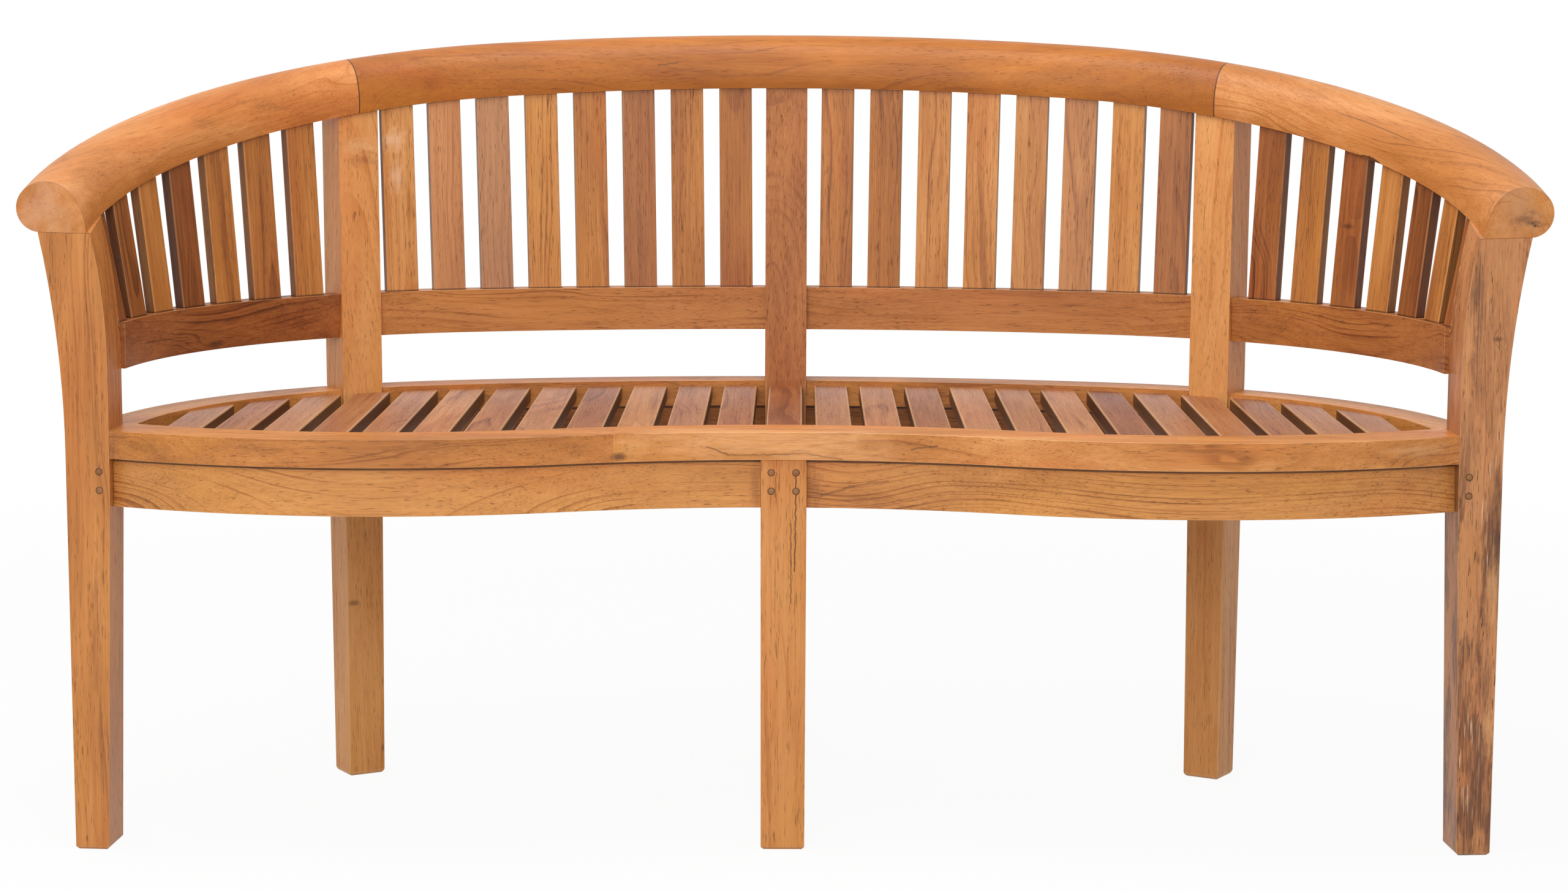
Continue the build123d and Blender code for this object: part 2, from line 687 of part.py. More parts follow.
# put the joints together
for pairs in (rail_tenons, rim_tenons, back_apron_tenons):
    middle_post = middle_post - pairs[0][1] - mirrored(pairs[0][1])
    side_post = side_post - pairs[1][1]
for pairs in (rail_tenons, rim_tenons, side_apron_tenons):
    side_post = side_post - pairs[2][1]
for pair in (rail_leg_tenon, apron_leg_tenon, rim_leg_tenon, rim_end, apron_end):
    front_leg = front_leg - pair[1]
middle_post = middle_post - stretcher_tenons[1][1] + head_tenon(middle_head, middle_plane.x_dir)
side_post = side_post + head_tenon(side_head, side_plane.x_dir)
front_leg = front_leg + head_tenon(leg_head, leg_plane.x_dir)
middle_leg = middle_leg - stretcher_tenons[0][1] - apron_inner_end[1] - mirrored(apron_inner_end[1]) + cap[0]
lower_back = lower_back + rail_tenons[0][0] + rail_tenons[1][0]
lower_arm = lower_arm + rail_tenons[2][0] + rail_leg_tenon[0]
back_rim = back_rim + rim_tenons[0][0] + rim_tenons[1][0]
side_rim = side_rim + rim_tenons[2][0] + rim_leg_tenon[0]
back_apron = back_apron + back_apron_tenons[0][0] + back_apron_tenons[1][0]
side_apron = side_apron + side_apron_tenons[2][0] + apron_leg_tenon[0]
front_apron = front_apron + apron_inner_end[0] + apron_end[0]
front_rims = front_rims + rim_end[0] + mirrored(rim_end[0]) - cap[1]
stretcher = stretcher + stretcher_tenons[0][0] + stretcher_tenons[1][0]

side_head_hole = head_tenon(side_head, side_plane.x_dir, fit_gap)
arm_rail = arm_rail - rail_dowel(fit_gap) - side_head_hole - head_tenon(leg_head, leg_plane.x_dir, fit_gap)
centre_rail = centre_rail - head_tenon(middle_head, middle_plane.x_dir, fit_gap)
for hole in (rail_dowel(fit_gap), side_head_hole):
    centre_rail = centre_rail - hole - mirrored(hole)
for pocket in slat_pockets:
    lower_back = lower_back - pocket
    lower_arm = lower_arm - pocket
    arm_rail = arm_rail - pocket
    centre_rail = centre_rail - pocket - mirrored(pocket)

for hole in leg_peg_holes:
    front_leg = front_leg - hole
    front_apron = front_apron - hole
for hole in middle_peg_holes:
    middle_leg = middle_leg - hole - mirrored(hole)
    front_apron = front_apron - hole
for index, hole in tongue_holes.items():
    front_rims = front_rims - hole
    if index >= 0:
        back_rim = back_rim - hole
        side_rim = side_rim - hole

# joint of the front rim, with a loose key
joint_x = -front_joint_offset
right_of_joint = block(Plane.XY, (joint_x, 4 * overrun), (-2 * overrun, 2 * overrun), (-overrun, 4 * overrun))
key_front = front_edge_y(joint_x) + tenon_thick
rim_key = [block(Plane.XY, (joint_x - tenon_length - gap, joint_x + tenon_length + gap),
                 (key_front - gap, key_front + rim_tenon_thick + gap),
                 (rim_tenon[0] - gap, rim_tenon[1] + gap)) for gap in (0, fit_gap)]
front_rims = front_rims - rim_key[1]

nodes = {
    "front_leg_middle": middle_leg,
    "back_leg_middle": middle_post,
    "top_rail_centre": centre_rail,
    "seat_rim_front_right": front_rims & right_of_joint,
    "seat_rim_front_left": front_rims - right_of_joint,
    "seat_rim_key": rim_key[0],
    "seat_stretcher": stretcher,
    "seat_slat_middle": seat_slats[0],
}
pairs_of_nodes = {
    "front_leg": front_leg,
    "back_leg": side_post,
    "arm_rail": arm_rail,
    "lower_back_rail": lower_back,
    "lower_arm_rail": lower_arm,
    "seat_rim_side": side_rim,
    "seat_rim_back": back_rim,
    "apron_front": front_apron,
    "apron_side": side_apron,
    "apron_back": back_apron,
}
for name, shape in pairs_of_nodes.items():
    nodes[name + "_right"] = shape
    nodes[name + "_left"] = mirrored(shape)
for index in range(1, seat_slat_pairs_count + 1):
    nodes[f"seat_slat_right_{index}"] = seat_slats[index]
    nodes[f"seat_slat_left_{index}"] = seat_slats[-index]
nodes = {name: one(shape) for name, shape in nodes.items()}

# like pieces that share a node stay separate solids
groups = {
    "back_slats_right": back_slats,
    "back_slats_left": [mirrored(slat) for slat in back_slats],
    "arm_slats_right": arm_slats,
    "arm_slats_left": [mirrored(slat) for slat in arm_slats],
    "top_rail_dowels": [rail_dowel(0), mirrored(rail_dowel(0))],
    "apron_pegs": pegs + [mirrored(one(peg_shape)) for peg_shape in pegs],
}
for name, shapes in groups.items():
    nodes[name] = Compound(children=[one(shape) for shape in shapes])

# the origin lies on the floor, midway between the front of the lobes and the back of the top rail
front_most = nodes["seat_rim_front_right"].bounding_box().min.Y
back_most = nodes["top_rail_centre"].bounding_box().max.Y
to_origin = Pos(0, -(front_most + back_most) / 2, 0)
for name, shape in nodes.items():
    export_step(to_origin * shape, "parts/" + name + ".step")
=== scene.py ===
import math
import random
from functools import partial, reduce

import bmesh
import bpy
from mathutils import Matrix, Vector
from mathutils.bvhtree import BVHTree


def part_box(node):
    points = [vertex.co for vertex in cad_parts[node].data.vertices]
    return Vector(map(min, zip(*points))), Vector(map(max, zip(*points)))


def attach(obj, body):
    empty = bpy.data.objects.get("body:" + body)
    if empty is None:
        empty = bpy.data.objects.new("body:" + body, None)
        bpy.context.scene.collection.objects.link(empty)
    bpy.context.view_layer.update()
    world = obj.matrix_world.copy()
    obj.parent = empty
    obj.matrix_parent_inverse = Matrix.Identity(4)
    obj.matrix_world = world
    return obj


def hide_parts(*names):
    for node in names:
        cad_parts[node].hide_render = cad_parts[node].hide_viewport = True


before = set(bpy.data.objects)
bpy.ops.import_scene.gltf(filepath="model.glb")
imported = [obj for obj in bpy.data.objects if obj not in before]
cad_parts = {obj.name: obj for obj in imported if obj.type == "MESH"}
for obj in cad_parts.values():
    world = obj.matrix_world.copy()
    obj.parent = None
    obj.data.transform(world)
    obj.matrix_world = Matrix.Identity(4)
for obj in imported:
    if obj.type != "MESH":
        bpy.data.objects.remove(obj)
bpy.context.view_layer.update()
mm = 0.001
xyz = ("X", "Y", "Z")
mathNode = "ShaderNodeMath"
vectorNode = "ShaderNodeVectorMath"


# colours and nodes

def linear(hexColour):
    # sRGB hex to linear light
    parts = [int(hexColour[i:i + 2], 16) / 255 for i in (1, 3, 5)]
    return [p / 12.92 if p <= 0.04045 else ((p + 0.055) / 1.055) ** 2.4 for p in parts] + [1.0]


def addNode(tree, kind, *values, out=None, **settings):
    # values fill the inputs in use, in their order; a setting that starts with a capital names an input, and
    # the others are properties of the node; out names one output or several, or else the first is given back
    node = tree.nodes.new(kind)
    for key, value in settings.items():
        if key[0].islower():
            setattr(node, key, value)
    inputs = [socket for socket in node.inputs if socket.enabled]
    byName = {socket.name.replace(" ", "_"): socket for socket in reversed(inputs)}
    filled = list(zip(inputs, values))
    filled += [(byName[key], value) for key, value in settings.items() if key[0].isupper()]
    for socket, value in filled:
        if isinstance(value, bpy.types.NodeSocket):
            tree.links.new(value, socket)
        else:
            socket.default_value = value
    if out:
        return node.outputs[out] if isinstance(out, str) else [node.outputs[name] for name in out]
    return next((socket for socket in node.outputs if socket.enabled), None)


def emptyTree(owner):
    # clears the nodes of a material or a world, and gives back what adds new ones
    owner.use_nodes = True
    owner.node_tree.nodes.clear()
    return partial(addNode, owner.node_tree)


def maskFrom(add, *bands):
    # a band is a measure, its two limits, and what it gives below and above them; the bands are multiplied
    steps = [add("ShaderNodeMapRange", *band, interpolation_type="SMOOTHSTEP") for band in bands]
    return reduce(lambda mask, step: add(mathNode, mask, step, operation="MULTIPLY"), steps)


def strongest(add, masks):
    return reduce(lambda mask, other: add(mathNode, mask, other, operation="MAXIMUM"), masks)


def addUp(add, total, *terms):
    # a term is a pattern, its weight, and the value of the pattern that adds nothing
    for pattern, weight, middle in terms:
        if middle:
            pattern = add(mathNode, pattern, middle, operation="SUBTRACT")
        total = add(mathNode, pattern, weight, total, operation="MULTIPLY_ADD")
    return total


def setOut(add, place, *steps):
    # a step is a direction and how far to go along it
    for direction, reach in steps:
        step = add(vectorNode, direction, reach, operation="SCALE")
        place = add(vectorNode, place, step, operation="ADD")
    return place


# the bench's lines in plan, in millimetres with y zero at the front of the middle leg: an arc behind the
# seat, which turns at an angle on each side into a smaller arc that ends at the half width

lines = {
    "yShift": -239.831,
    "seatHeight": 455.0,
    "seat": {"back": 505.0, "radius": 1483.0, "turn": 16.0, "half": 741.5},
    "lower": {"back": 474.0, "radius": 1500.0, "turn": 14.2, "half": 707.7},
    "top": {"back": 508.6, "radius": 1555.0, "turn": 12.2, "half": 734.0},
    "railLow": 667.4,
    "railSlope": 0.27,
    "dipRadius": 705.0,
    "lobeRadius": 623.0,
    "lobeSpread": 440.0,
    "jointTurn": 30.6,
    "rimFront": -3.0,
    "rimDepth": 60.0,
    "backRimDepth": 45.0,
}
railTilt = math.atan(lines["railSlope"])


def sideRadius(line):
    s = math.sin(math.radians(line["turn"]))
    return (line["half"] - line["radius"] * s) / (1 - s)


def sideCentre(line):
    turn = math.radians(line["turn"])
    reach = line["radius"] - sideRadius(line)
    return reach * math.sin(turn), line["back"] - line["radius"] + reach * math.cos(turn)


def pointOn(line, heading, offset=0.0):
    # heading is the angle in degrees between straight back and where the line faces outwards
    h = math.radians(heading)
    if heading <= line["turn"]:
        x, y, radius = 0.0, line["back"] - line["radius"], line["radius"]
    else:
        (x, y), radius = sideCentre(line), sideRadius(line)
    return x + (radius + offset) * math.sin(h), y + (radius + offset) * math.cos(h)


def headingAtRun(line, run):
    # run is how far a point lies along the line from its middle
    straight = math.radians(line["turn"]) * line["radius"]
    if run <= straight:
        return math.degrees(run / line["radius"])
    return line["turn"] + math.degrees((run - straight) / sideRadius(line))


def inMetres(x, y, z, side=1):
    return Vector((side * x * mm, (y + lines["yShift"]) * mm, z * mm))


# teak

# sanded, unoiled teak: matt and dry to the eye, with growth lines, fine pores and drifting colour
teakLook = {
    "bendReach": 70,          # how far growth lines bend slowly and quickly, in millimetres
    "rippleReach": 6,
    "shellSlope": 0.010,      # growth lines run out of the board by this much along it
    "unevenYears": (0.4, 2.4),    # how often the years' width changes and by how many years
    "streakWeight": 0.45,
    "fibreWeight": 0.75,
    "shadeStops": (0.10, 0.40, 0.70, 1.0),
    "knotForm": (2, 5, 1),    # a knot is stretched sideways and in depth
    "knotBend": 3.5,          # growth lines bend round a knot as far as this many of its sizes
    "knotCore": 0.2,          # the share of a knot's, a crack's and a glue line's width that is fully dark
    "crackCore": 0.35,
    "glueCore": 0.3,
    "patchEdge": {"Scale": 1.7, "Detail": 5.0, "Roughness": 0.65},
    "patchRagged": 2.6,
    "patchFade": (0.1, 1.0),
    "reddishDrift": (0.50, 0.68),
    "goldenDrift": (0.34, 0.50),
    "crackWander": (8, 3.5),  # a crack wanders once in so many millimetres, by so many
    "shadowLineFade": 0.5,
    "buttJointWidth": (0.4, 1.1),
    "bumpStrength": 0.4,
    "bumpDepth": 0.6,
    "fibreRelief": 0.5,
    "poreRelief": -0.9,
    "lineRelief": -0.2,
    "crackRelief": -1.0,
    "roughness": 0.44,
    "fibreRough": 0.20,
    "poreRough": 0.15,
    "ior": 1.5,
    "specular": 0.34,
    "reddish": (1.0, 0.80, 0.66, 1),    # these three multiply the colour
    "golden": (1.0, 0.98, 0.74, 1),
    "redBoard": (1.0, 0.74, 0.56, 1),
    "greyBoard": "#A58471",
    "pore": "#40210F",
    "weathered": "#563526",
    "scratched": "#DDB694",
    "knot": "#4A2614",
    "crack": "#35190B",
    "glue": "#4A2814",
    # worn edges: pale wear, and partly a painted highlight along the arrises
    "wornEdgeAndHighlight": "#DFB07A",
    # dark joint lines, and painted shade in gaps between pieces, under the rim, along slat sides and round
    # pegs
    "joint": "#2A1408",
}
# length and width of each pattern in millimetres, its detail and its roughness; fibres and pores are drawn
# coarser than real ones, to show
woodPatterns = {
    "bend": (420, 110, 2.0, 0.5),
    "ripple": (100, 20, 2.0, 0.5),
    "faintYears": (180, 48, 1.0, 0.5),
    "fibre": (90, 1.2, 3.0, 0.65),
    "streak": (330, 6, 2.0, 0.6),
    "pore": (16, 1.2, 1.0, 0.5),
    "blotch": (250, 50, 4.0, 0.55),
    "drift": (370, 85, 3.0, 0.5),
    "weathering": (125, 23, 6.0, 0.65),
    "weatheredFibre": (33, 2.4, 2.0, 0.5),
    "scratch": (38, 1.6, 1.0, 0.5),
    "scratchZone": (240, 55, 2.0, 0.5),
}
# two limits of a measure, and what it gives below and above them
woodBands = {
    "lineDarkens": (0.50, 0.93, 0.0, 1.0),
    "lineEnds": (0.93, 1.0, 1.0, 0.0),
    "yearStrength": (0.1, 0.9, 0.2, 1.0),
    "faintYears": (0.40, 0.68, 0.15, 1.0),
    "poreSpots": (0.60, 0.69, 0.0, 1.0),
    "poreRows": (0.38, 0.62, 0.25, 1.0),
    "weathering": (0.47, 0.56, 0.0, 0.78),
    "weatheredFibre": (0.36, 0.60, 0.35, 1.0),
    "weatheredHeight": (0.34, 0.52, 1.0, 0.30),   # metres above the floor
    "scratch": (0.62, 0.70, 0.0, 0.8),
    "scratchZone": (0.50, 0.62, 0.0, 1.0),
    "patchFibre": (0.35, 0.60, 0.45, 1.0),
}


def lineDistance(add, place, start, end):
    # how far a point lies from a straight line, seen from the front: depth counts for a twentieth
    flatten = Vector((1, 0.05, 1))
    first = Vector(start) * flatten * mm
    span = Vector(end) * flatten * mm - first
    flat = add(vectorNode, place, flatten, -first, operation="MULTIPLY_ADD")
    along = add(vectorNode, flat, span, operation="DOT_PRODUCT")
    share = add(mathNode, along, 1 / span.length_squared, operation="MULTIPLY", use_clamp=True)
    foot = add(vectorNode, span, share, operation="SCALE")
    return add(vectorNode, flat, foot, operation="DISTANCE")


def armDistance(add, place, offset, height):
    # how far a point lies from a line round the arm, set out from the inner lower edge of the top rail
    x, y = sideCentre(lines["top"])
    centre = Vector((x, y + lines["yShift"] / math.cos(railTilt), 0)) * mm
    level = lines["railLow"] + height - lines["yShift"] * lines["railSlope"]
    target = Vector((sideRadius(lines["top"]) + offset, level, 0)) * mm
    upright = (1, 1 / math.cos(railTilt), 0)
    flat = add(vectorNode, place, upright, -centre, operation="MULTIPLY_ADD")
    reach = add(vectorNode, flat, operation="LENGTH")
    rise = add(vectorNode, place, (0, -lines["railSlope"], 1), operation="DOT_PRODUCT")
    return add(vectorNode, add("ShaderNodeCombineXYZ", reach, rise), target, operation="DISTANCE")


# the rail's middle piece and its arms meet at an upright plane over each rear side leg
jointTurn = math.radians(lines["jointTurn"])
jointNormal = Vector((math.cos(jointTurn), -math.sin(jointTurn), 0))
jointReach = min(vertex.co.dot(jointNormal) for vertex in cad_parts["arm_rail_right"].data.vertices)


def jointDistance(add, place):
    # the left joint mirrors the right one, so that x counts without its sign
    x, y = add("ShaderNodeSeparateXYZ", place, out=("X", "Y"))
    folded = add("ShaderNodeCombineXYZ", add(mathNode, x, operation="ABSOLUTE"), y)
    reach = add(vectorNode, folded, jointNormal, operation="DOT_PRODUCT")
    return add(mathNode, add(mathNode, reach, jointReach, operation="SUBTRACT"),
               operation="ABSOLUTE")


def teakMaterial(name, shades, lineAmount=0.3, fibreAmount=0.5, poreAmount=0.5, blotch=0.5, wave=1.0,
                 arris=0.35, drifting=0.5, ringMm=6.5, weathered=False, cracks=(), knots=(), stainsAndPaintedLight=(),
                 glueLines=(), buttJoint=0.0, paintedShadowLine=None):
    # shades run from the palest wood to the darkest; growth lines stand about ringMm apart
    look, bands = teakLook, woodBands
    material = bpy.data.materials.new(name)
    add = emptyTree(material)
    grain = add("ShaderNodeAttribute", attribute_name="grain", out="Vector")
    board = add("ShaderNodeAttribute", attribute_name="board", out="Vector")
    tone, red, grey = add("ShaderNodeSeparateXYZ", board, out=xyz)
    ease = add("ShaderNodeAttribute", attribute_name="arris", out="Fac")
    here = add("ShaderNodeTexCoord", out="Object")

    def noise(pattern):
        # a pattern stretched along the grain
        length, width, detail, roughness = woodPatterns[pattern]
        along, across = 1 / (length * mm), 1 / (width * mm)
        mapping = add("ShaderNodeMapping", grain, Scale=(along, across, across))
        return add("ShaderNodeTexNoise", mapping, Scale=1.0, Detail=detail, Roughness=roughness)

    def spotAt(place, size):
        # a point's place in a spot, as shares of the spot's size
        return add("ShaderNodeMapping", here, Location=Vector(place) * mm, Scale=size, vector_type="TEXTURE")

    # growth lines: shells round the pith, bent along the board by slow and quick drifts
    run, across, deep = add("ShaderNodeSeparateXYZ", grain, out=xyz)
    radius = add(vectorNode, add("ShaderNodeCombineXYZ", 0.0, across, deep), operation="LENGTH")
    field = addUp(add, radius, (noise("bend"), look["bendReach"] * mm * wave, 0.5),
                  (noise("ripple"), look["rippleReach"] * mm * wave, 0.5), (run, look["shellSlope"], 0.0))
    knotMasks = []
    for place, size, push, darkness in knots:
        reach = add(vectorNode, spotAt(place, look["knotForm"]), operation="LENGTH")
        bulge = maskFrom(add, (reach, 0.0, size * look["knotBend"] * mm, push * mm, 0.0))
        field = add(mathNode, field, bulge, operation="ADD")
        knotMasks.append(maskFrom(add, (reach, size * look["knotCore"] * mm, size * mm, darkness, 0.0)))
    # the lines stand unevenly, and some years are fainter than others
    often, much = look["unevenYears"]
    years = add(mathNode, field, 1 / (ringMm * mm), operation="MULTIPLY")
    uneven = add("ShaderNodeTexNoise", years, Scale=often, Detail=1.0, noise_dimensions="1D")
    years = addUp(add, years, (uneven, much, 0.5))
    ring = add(mathNode, years, operation="FRACT")
    year = add(mathNode, years, operation="FLOOR")
    strength = add("ShaderNodeTexWhiteNoise", year, noise_dimensions="1D")
    growth = maskFrom(add, (ring, *bands["lineDarkens"]), (ring, *bands["lineEnds"]),
                      (strength, *bands["yearStrength"]), (noise("faintYears"), *bands["faintYears"]))

    fibre = noise("fibre")
    streak = noise("streak")
    pores = maskFrom(add, (noise("pore"), *bands["poreSpots"]), (streak, *bands["poreRows"]))

    # the shade of the wood picks its colour from the palest to the darkest
    shade = addUp(add, tone, (noise("blotch"), blotch, 0.5),
                  (streak, look["streakWeight"] * fibreAmount, 0.5),
                  (fibre, look["fibreWeight"] * fibreAmount, 0.5), (growth, lineAmount, 0.0))
    colour = add("ShaderNodeValToRGB", shade)
    stops = colour.node.color_ramp.elements
    stops.remove(stops[1])
    stops[0].position = look["shadeStops"][0]
    stops[0].color = linear(shades[0])
    for position, hexColour in zip(look["shadeStops"][1:], shades[1:]):
        stops.new(position).color = linear(hexColour)

    # colours that multiply the wood's, each with its strength, and then colours that cover it
    drift = noise("drift")
    tints = [(maskFrom(add, (drift, *look["reddishDrift"], 0.0, drifting)), look["reddish"]),
             (maskFrom(add, (drift, *look["goldenDrift"], drifting, 0.0)), look["golden"]),
             (red, look["redBoard"])]
    covers = [(grey, look["greyBoard"]),
              (add(mathNode, pores, poreAmount, operation="MULTIPLY"), look["pore"])]
    level = add("ShaderNodeSeparateXYZ", here, out="Z")
    if weathered:
        # dark mottled patches, and pale fibres scratched up through them
        covers.append((maskFrom(add, (noise("weathering"), *bands["weathering"]),
                                (noise("weatheredFibre"), *bands["weatheredFibre"]),
                                (level, *bands["weatheredHeight"])), look["weathered"]))
        covers.append((maskFrom(add, (noise("scratch"), *bands["scratch"]),
                                (noise("scratchZone"), *bands["scratchZone"])), look["scratched"]))
    for place, size, hexColour, amount in stainsAndPaintedLight:
        flat = spotAt(place, Vector(size) * mm)
        edge = add("ShaderNodeTexNoise", flat, **look["patchEdge"])
        reach = add(vectorNode, flat, operation="LENGTH")
        reach = addUp(add, reach, (edge, look["patchRagged"], 0.5))
        covers.append((maskFrom(add, (reach, *look["patchFade"], amount, 0.0), (fibre, *bands["patchFibre"])),
                       hexColour))
    if knots:
        covers.append((strongest(add, knotMasks), look["knot"]))
    relief = [(fibre, look["fibreRelief"], 0.0), (pores, look["poreRelief"], 0.0),
              (growth, look["lineRelief"], 0.0)]
    if cracks:
        size, swing = look["crackWander"]
        wander = add("ShaderNodeTexNoise", here, Scale=1 / (size * mm), Detail=2.0, out="Color")
        wander = add(vectorNode, wander, (0.5, 0.5, 0.5), operation="SUBTRACT")
        bent = setOut(add, here, (wander, swing * mm))
        core = look["crackCore"]
        splits = [(lineDistance(add, bent, start, end), width * core * mm, width * mm, amount, 0.0)
                  for start, end, width, amount in cracks]
        split = strongest(add, [maskFrom(add, band) for band in splits])
        covers.append((split, look["crack"]))
        relief.append((split, look["crackRelief"], 0.0))
    # painted shade: a level dark band, under the rim on the aprons and at the back slats' feet
    if paintedShadowLine:
        height, reach, amount = paintedShadowLine
        away = add(mathNode, add(mathNode, level, height * mm, operation="SUBTRACT"),
                   operation="ABSOLUTE")
        fade = (reach - look["shadowLineFade"]) * mm
        covers.append((maskFrom(add, (away, fade, reach * mm, amount, 0.0)), look["joint"]))
    if buttJoint:
        thin, wide = look["buttJointWidth"]
        covers.append((maskFrom(add, (jointDistance(add, here), thin * mm, wide * mm, buttJoint, 0.0)),
                       look["joint"]))
    for offset, height, width, amount in glueLines:
        away = armDistance(add, here, offset, height)
        core = width * look["glueCore"] * mm
        covers.append((maskFrom(add, (away, core, width * mm, amount, 0.0)), look["glue"]))
    # arris is above zero on worn edges, painted pale as wear and partly as a painted highlight; below zero it
    # paints shade in the gaps where pieces meet, along the slats' narrow sides, under the rails' front ends
    # and round the pegs
    for weight, hexColour in ((arris, look["wornEdgeAndHighlight"]), (-1.0, look["joint"])):
        covers.append((add(mathNode, ease, weight, operation="MULTIPLY", use_clamp=True), hexColour))
    for amount, tint in tints:
        colour = add("ShaderNodeMix", amount, colour, tint, data_type="RGBA", blend_type="MULTIPLY")
    for amount, hexColour in covers:
        colour = add("ShaderNodeMix", amount, colour, linear(hexColour), data_type="RGBA")

    rough = addUp(add, look["roughness"], (fibre, look["fibreRough"], 0.5), (pores, look["poreRough"], 0.0))
    bump = add("ShaderNodeBump", Strength=look["bumpStrength"], Distance=look["bumpDepth"] * mm,
               Height=addUp(add, 0.0, *relief))
    shader = add("ShaderNodeBsdfPrincipled", Base_Color=colour, Roughness=rough, Normal=bump, IOR=look["ior"],
                 Specular_IOR_Level=look["specular"])
    add("ShaderNodeOutputMaterial", shader)
    return material


# each mark was placed in whole millimetres: x, y, z. A crack is a start, an end, a width and a
# strength; a knot is a place, a size, how far it bends the lines and a darkness; a stain is a place, a reach
# each way, a colour and a strength. Depth counts little for cracks and knots: their y only has to be near
# some stains are painted light rather than marks in the wood: pale patches on shaded rail ends, and the shade
# that the middle leg casts on the apron
legWood = {
    "shades": ("#D89A5C", "#C17D3F", "#985929", "#683716"),
    "lineAmount": 0.24, "poreAmount": 0.55, "blotch": 0.6, "wave": 0.7,
    "cracks": [((13, -240, 408), (12, -240, 305), 1.2, 0.75),
               ((8, -240, 356), (8, -240, 270), 1.0, 0.55),
               ((-8, -240, 410), (-9, -240, 385), 1.0, 0.5)],
    "knots": [((-503, 100, 205), 5, 10, 0.55), ((3, 250, 725), 30, 22, 0.0)],
    "stainsAndPaintedLight": [((-731, -250, 270), (6, 20, 50), "#7D4A28", 0.55),
               ((-734, -250, 210), (6, 20, 50), "#7D4A28", 0.50),
               ((-730, -250, 115), (6, 20, 60), "#7D4A28", 0.55),
               ((-493, 150, 734), (40, 20, 12), "#DDAE82", 0.5),
               ((-487, 150, 718), (30, 20, 12), "#8A5530", 0.55)],
}
wornLegWood = {
    "shades": ("#CB8D5C", "#AB6F43", "#84502E", "#5A301C"),
    "lineAmount": 0.3, "poreAmount": 0.85, "blotch": 0.6, "wave": 0.7, "weathered": True,
    "knots": [((752, -250, 558), 4, 6, 0.6)],
    "stainsAndPaintedLight": [((731, -250, 593), (12, 20, 60), "#5A3A2C", 0.75),
               ((729, -250, 525), (10, 20, 40), "#5A3A2C", 0.70),
               ((754, -250, 358), (12, 20, 95), "#5A3A2C", 0.65),
               ((760, -250, 330), (8, 20, 80), "#4A2F23", 0.80),
               ((755, -250, 292), (10, 20, 50), "#D9A26C", 0.60),
               ((750, -250, 179), (12, 20, 75), "#5A3A2C", 0.65),
               ((755, -250, 139), (10, 20, 40), "#D9A26C", 0.60),
               ((746, -250, 99), (12, 20, 50), "#5A3A2C", 0.60),
               ((738, -250, 45), (16, 20, 35), "#6B452F", 0.55)],
}
topRailWood = {
    "shades": ("#D89546", "#B66C21", "#925014", "#64310B"),
    "lineAmount": 0.2, "poreAmount": 0.35, "fibreAmount": 0.4, "blotch": 0.8, "wave": 1.2, "drifting": 0.8,
    "buttJoint": 0.85,
    "cracks": [((-152, 245, 827), (-130, 245, 830), 1.2, 0.5)],
    "stainsAndPaintedLight": [((-335, 220, 825), (70, 30, 4), "#7F4519", 0.5),
               ((-76, 255, 843), (80, 30, 3), "#7F4519", 0.5)],
}
armWood = {
    "shades": ("#DFA267", "#BE783A", "#975720", "#683510"),
    "poreAmount": 0.35, "fibreAmount": 0.4, "blotch": 0.8, "drifting": 0.7, "buttJoint": 0.85, "arris": 0.2,
}
leftArmWood = {
    **armWood, "lineAmount": 0.16, "wave": 1.2,
    "stainsAndPaintedLight": [((-589, 80, 783), (30, 30, 9), "#8A4F24", 0.6),
               ((-654, 10, 768), (22, 30, 8), "#8A4F24", 0.55),
               # pale end face: paler end grain, with painted light where the end face lies in shade
               ((-786, -250, 693), (60, 4, 60), "#D3A37C", 0.6)],
}
rightArmWood = {
    **armWood, "lineAmount": 0.26, "wave": 1.6,
    "cracks": [((641, 20, 736), (652, 0, 735), 2.2, 0.85),
               ((652, 0, 735), (660, -10, 729), 2.4, 0.9)],
    "stainsAndPaintedLight": [((598, 90, 804), (40, 30, 10), "#A5652F", 0.5),
               # pale end face: paler end grain, with painted light where the end face lies in shade
               ((773, -250, 691), (60, 4, 60), "#C89A74", 0.5),
               ((783, -250, 682), (26, 4, 12), "#6A4128", 0.8),
               ((788, -250, 678), (7, 4, 5), "#2E190D", 0.95)],
    "glueLines": [(7.0, 36.8, 1.4, 0.5)],   # out from and above the rail's inner edge, a width and a strength
}
lowerRailWood = {
    "shades": ("#C6844A", "#AD6C36", "#80451E", "#53280F"),
    "lineAmount": 0.38, "fibreAmount": 0.65, "blotch": 0.65,
    "knots": [((-640, -10, 521), 6, 10, 0.7)],
    "cracks": [((-694, -140, 536), (-664, -70, 533), 1.6, 0.6)],
}
rimWood = {
    "shades": ("#E2A465", "#C27D3E", "#985A27", "#643413"),
    "lineAmount": 0.26, "wave": 1.4, "blotch": 0.75, "drifting": 0.7,
    "knots": [((-174, -265, 431), 6, 14, 0.75)],
    "cracks": [((-82, -250, 440), (-58, -245, 430), 1.2, 0.5),
               ((-58, -245, 430), (26, -245, 432), 1.2, 0.4),
               ((26, -245, 432), (62, -245, 426), 1.2, 0.4),
               ((135, -255, 439), (162, -260, 443), 1.2, 0.5)],
    "stainsAndPaintedLight": [((0, -245, 440), (200, 50, 50), "#EDB077", 0.6),
               ((-664, -275, 437), (45, 50, 14), "#8D5527", 0.6),
               ((-715, -260, 435), (16, 50, 30), "#7E4C28", 0.6),
               ((-546, -310, 443), (60, 50, 6), "#7E4820", 0.55),
               ((-369, -315, 444), (70, 50, 9), "#8D5527", 0.55),
               ((665, -275, 442), (50, 50, 10), "#DFA66E", 0.5)],
}
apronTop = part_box("apron_front_right")[1].z / mm
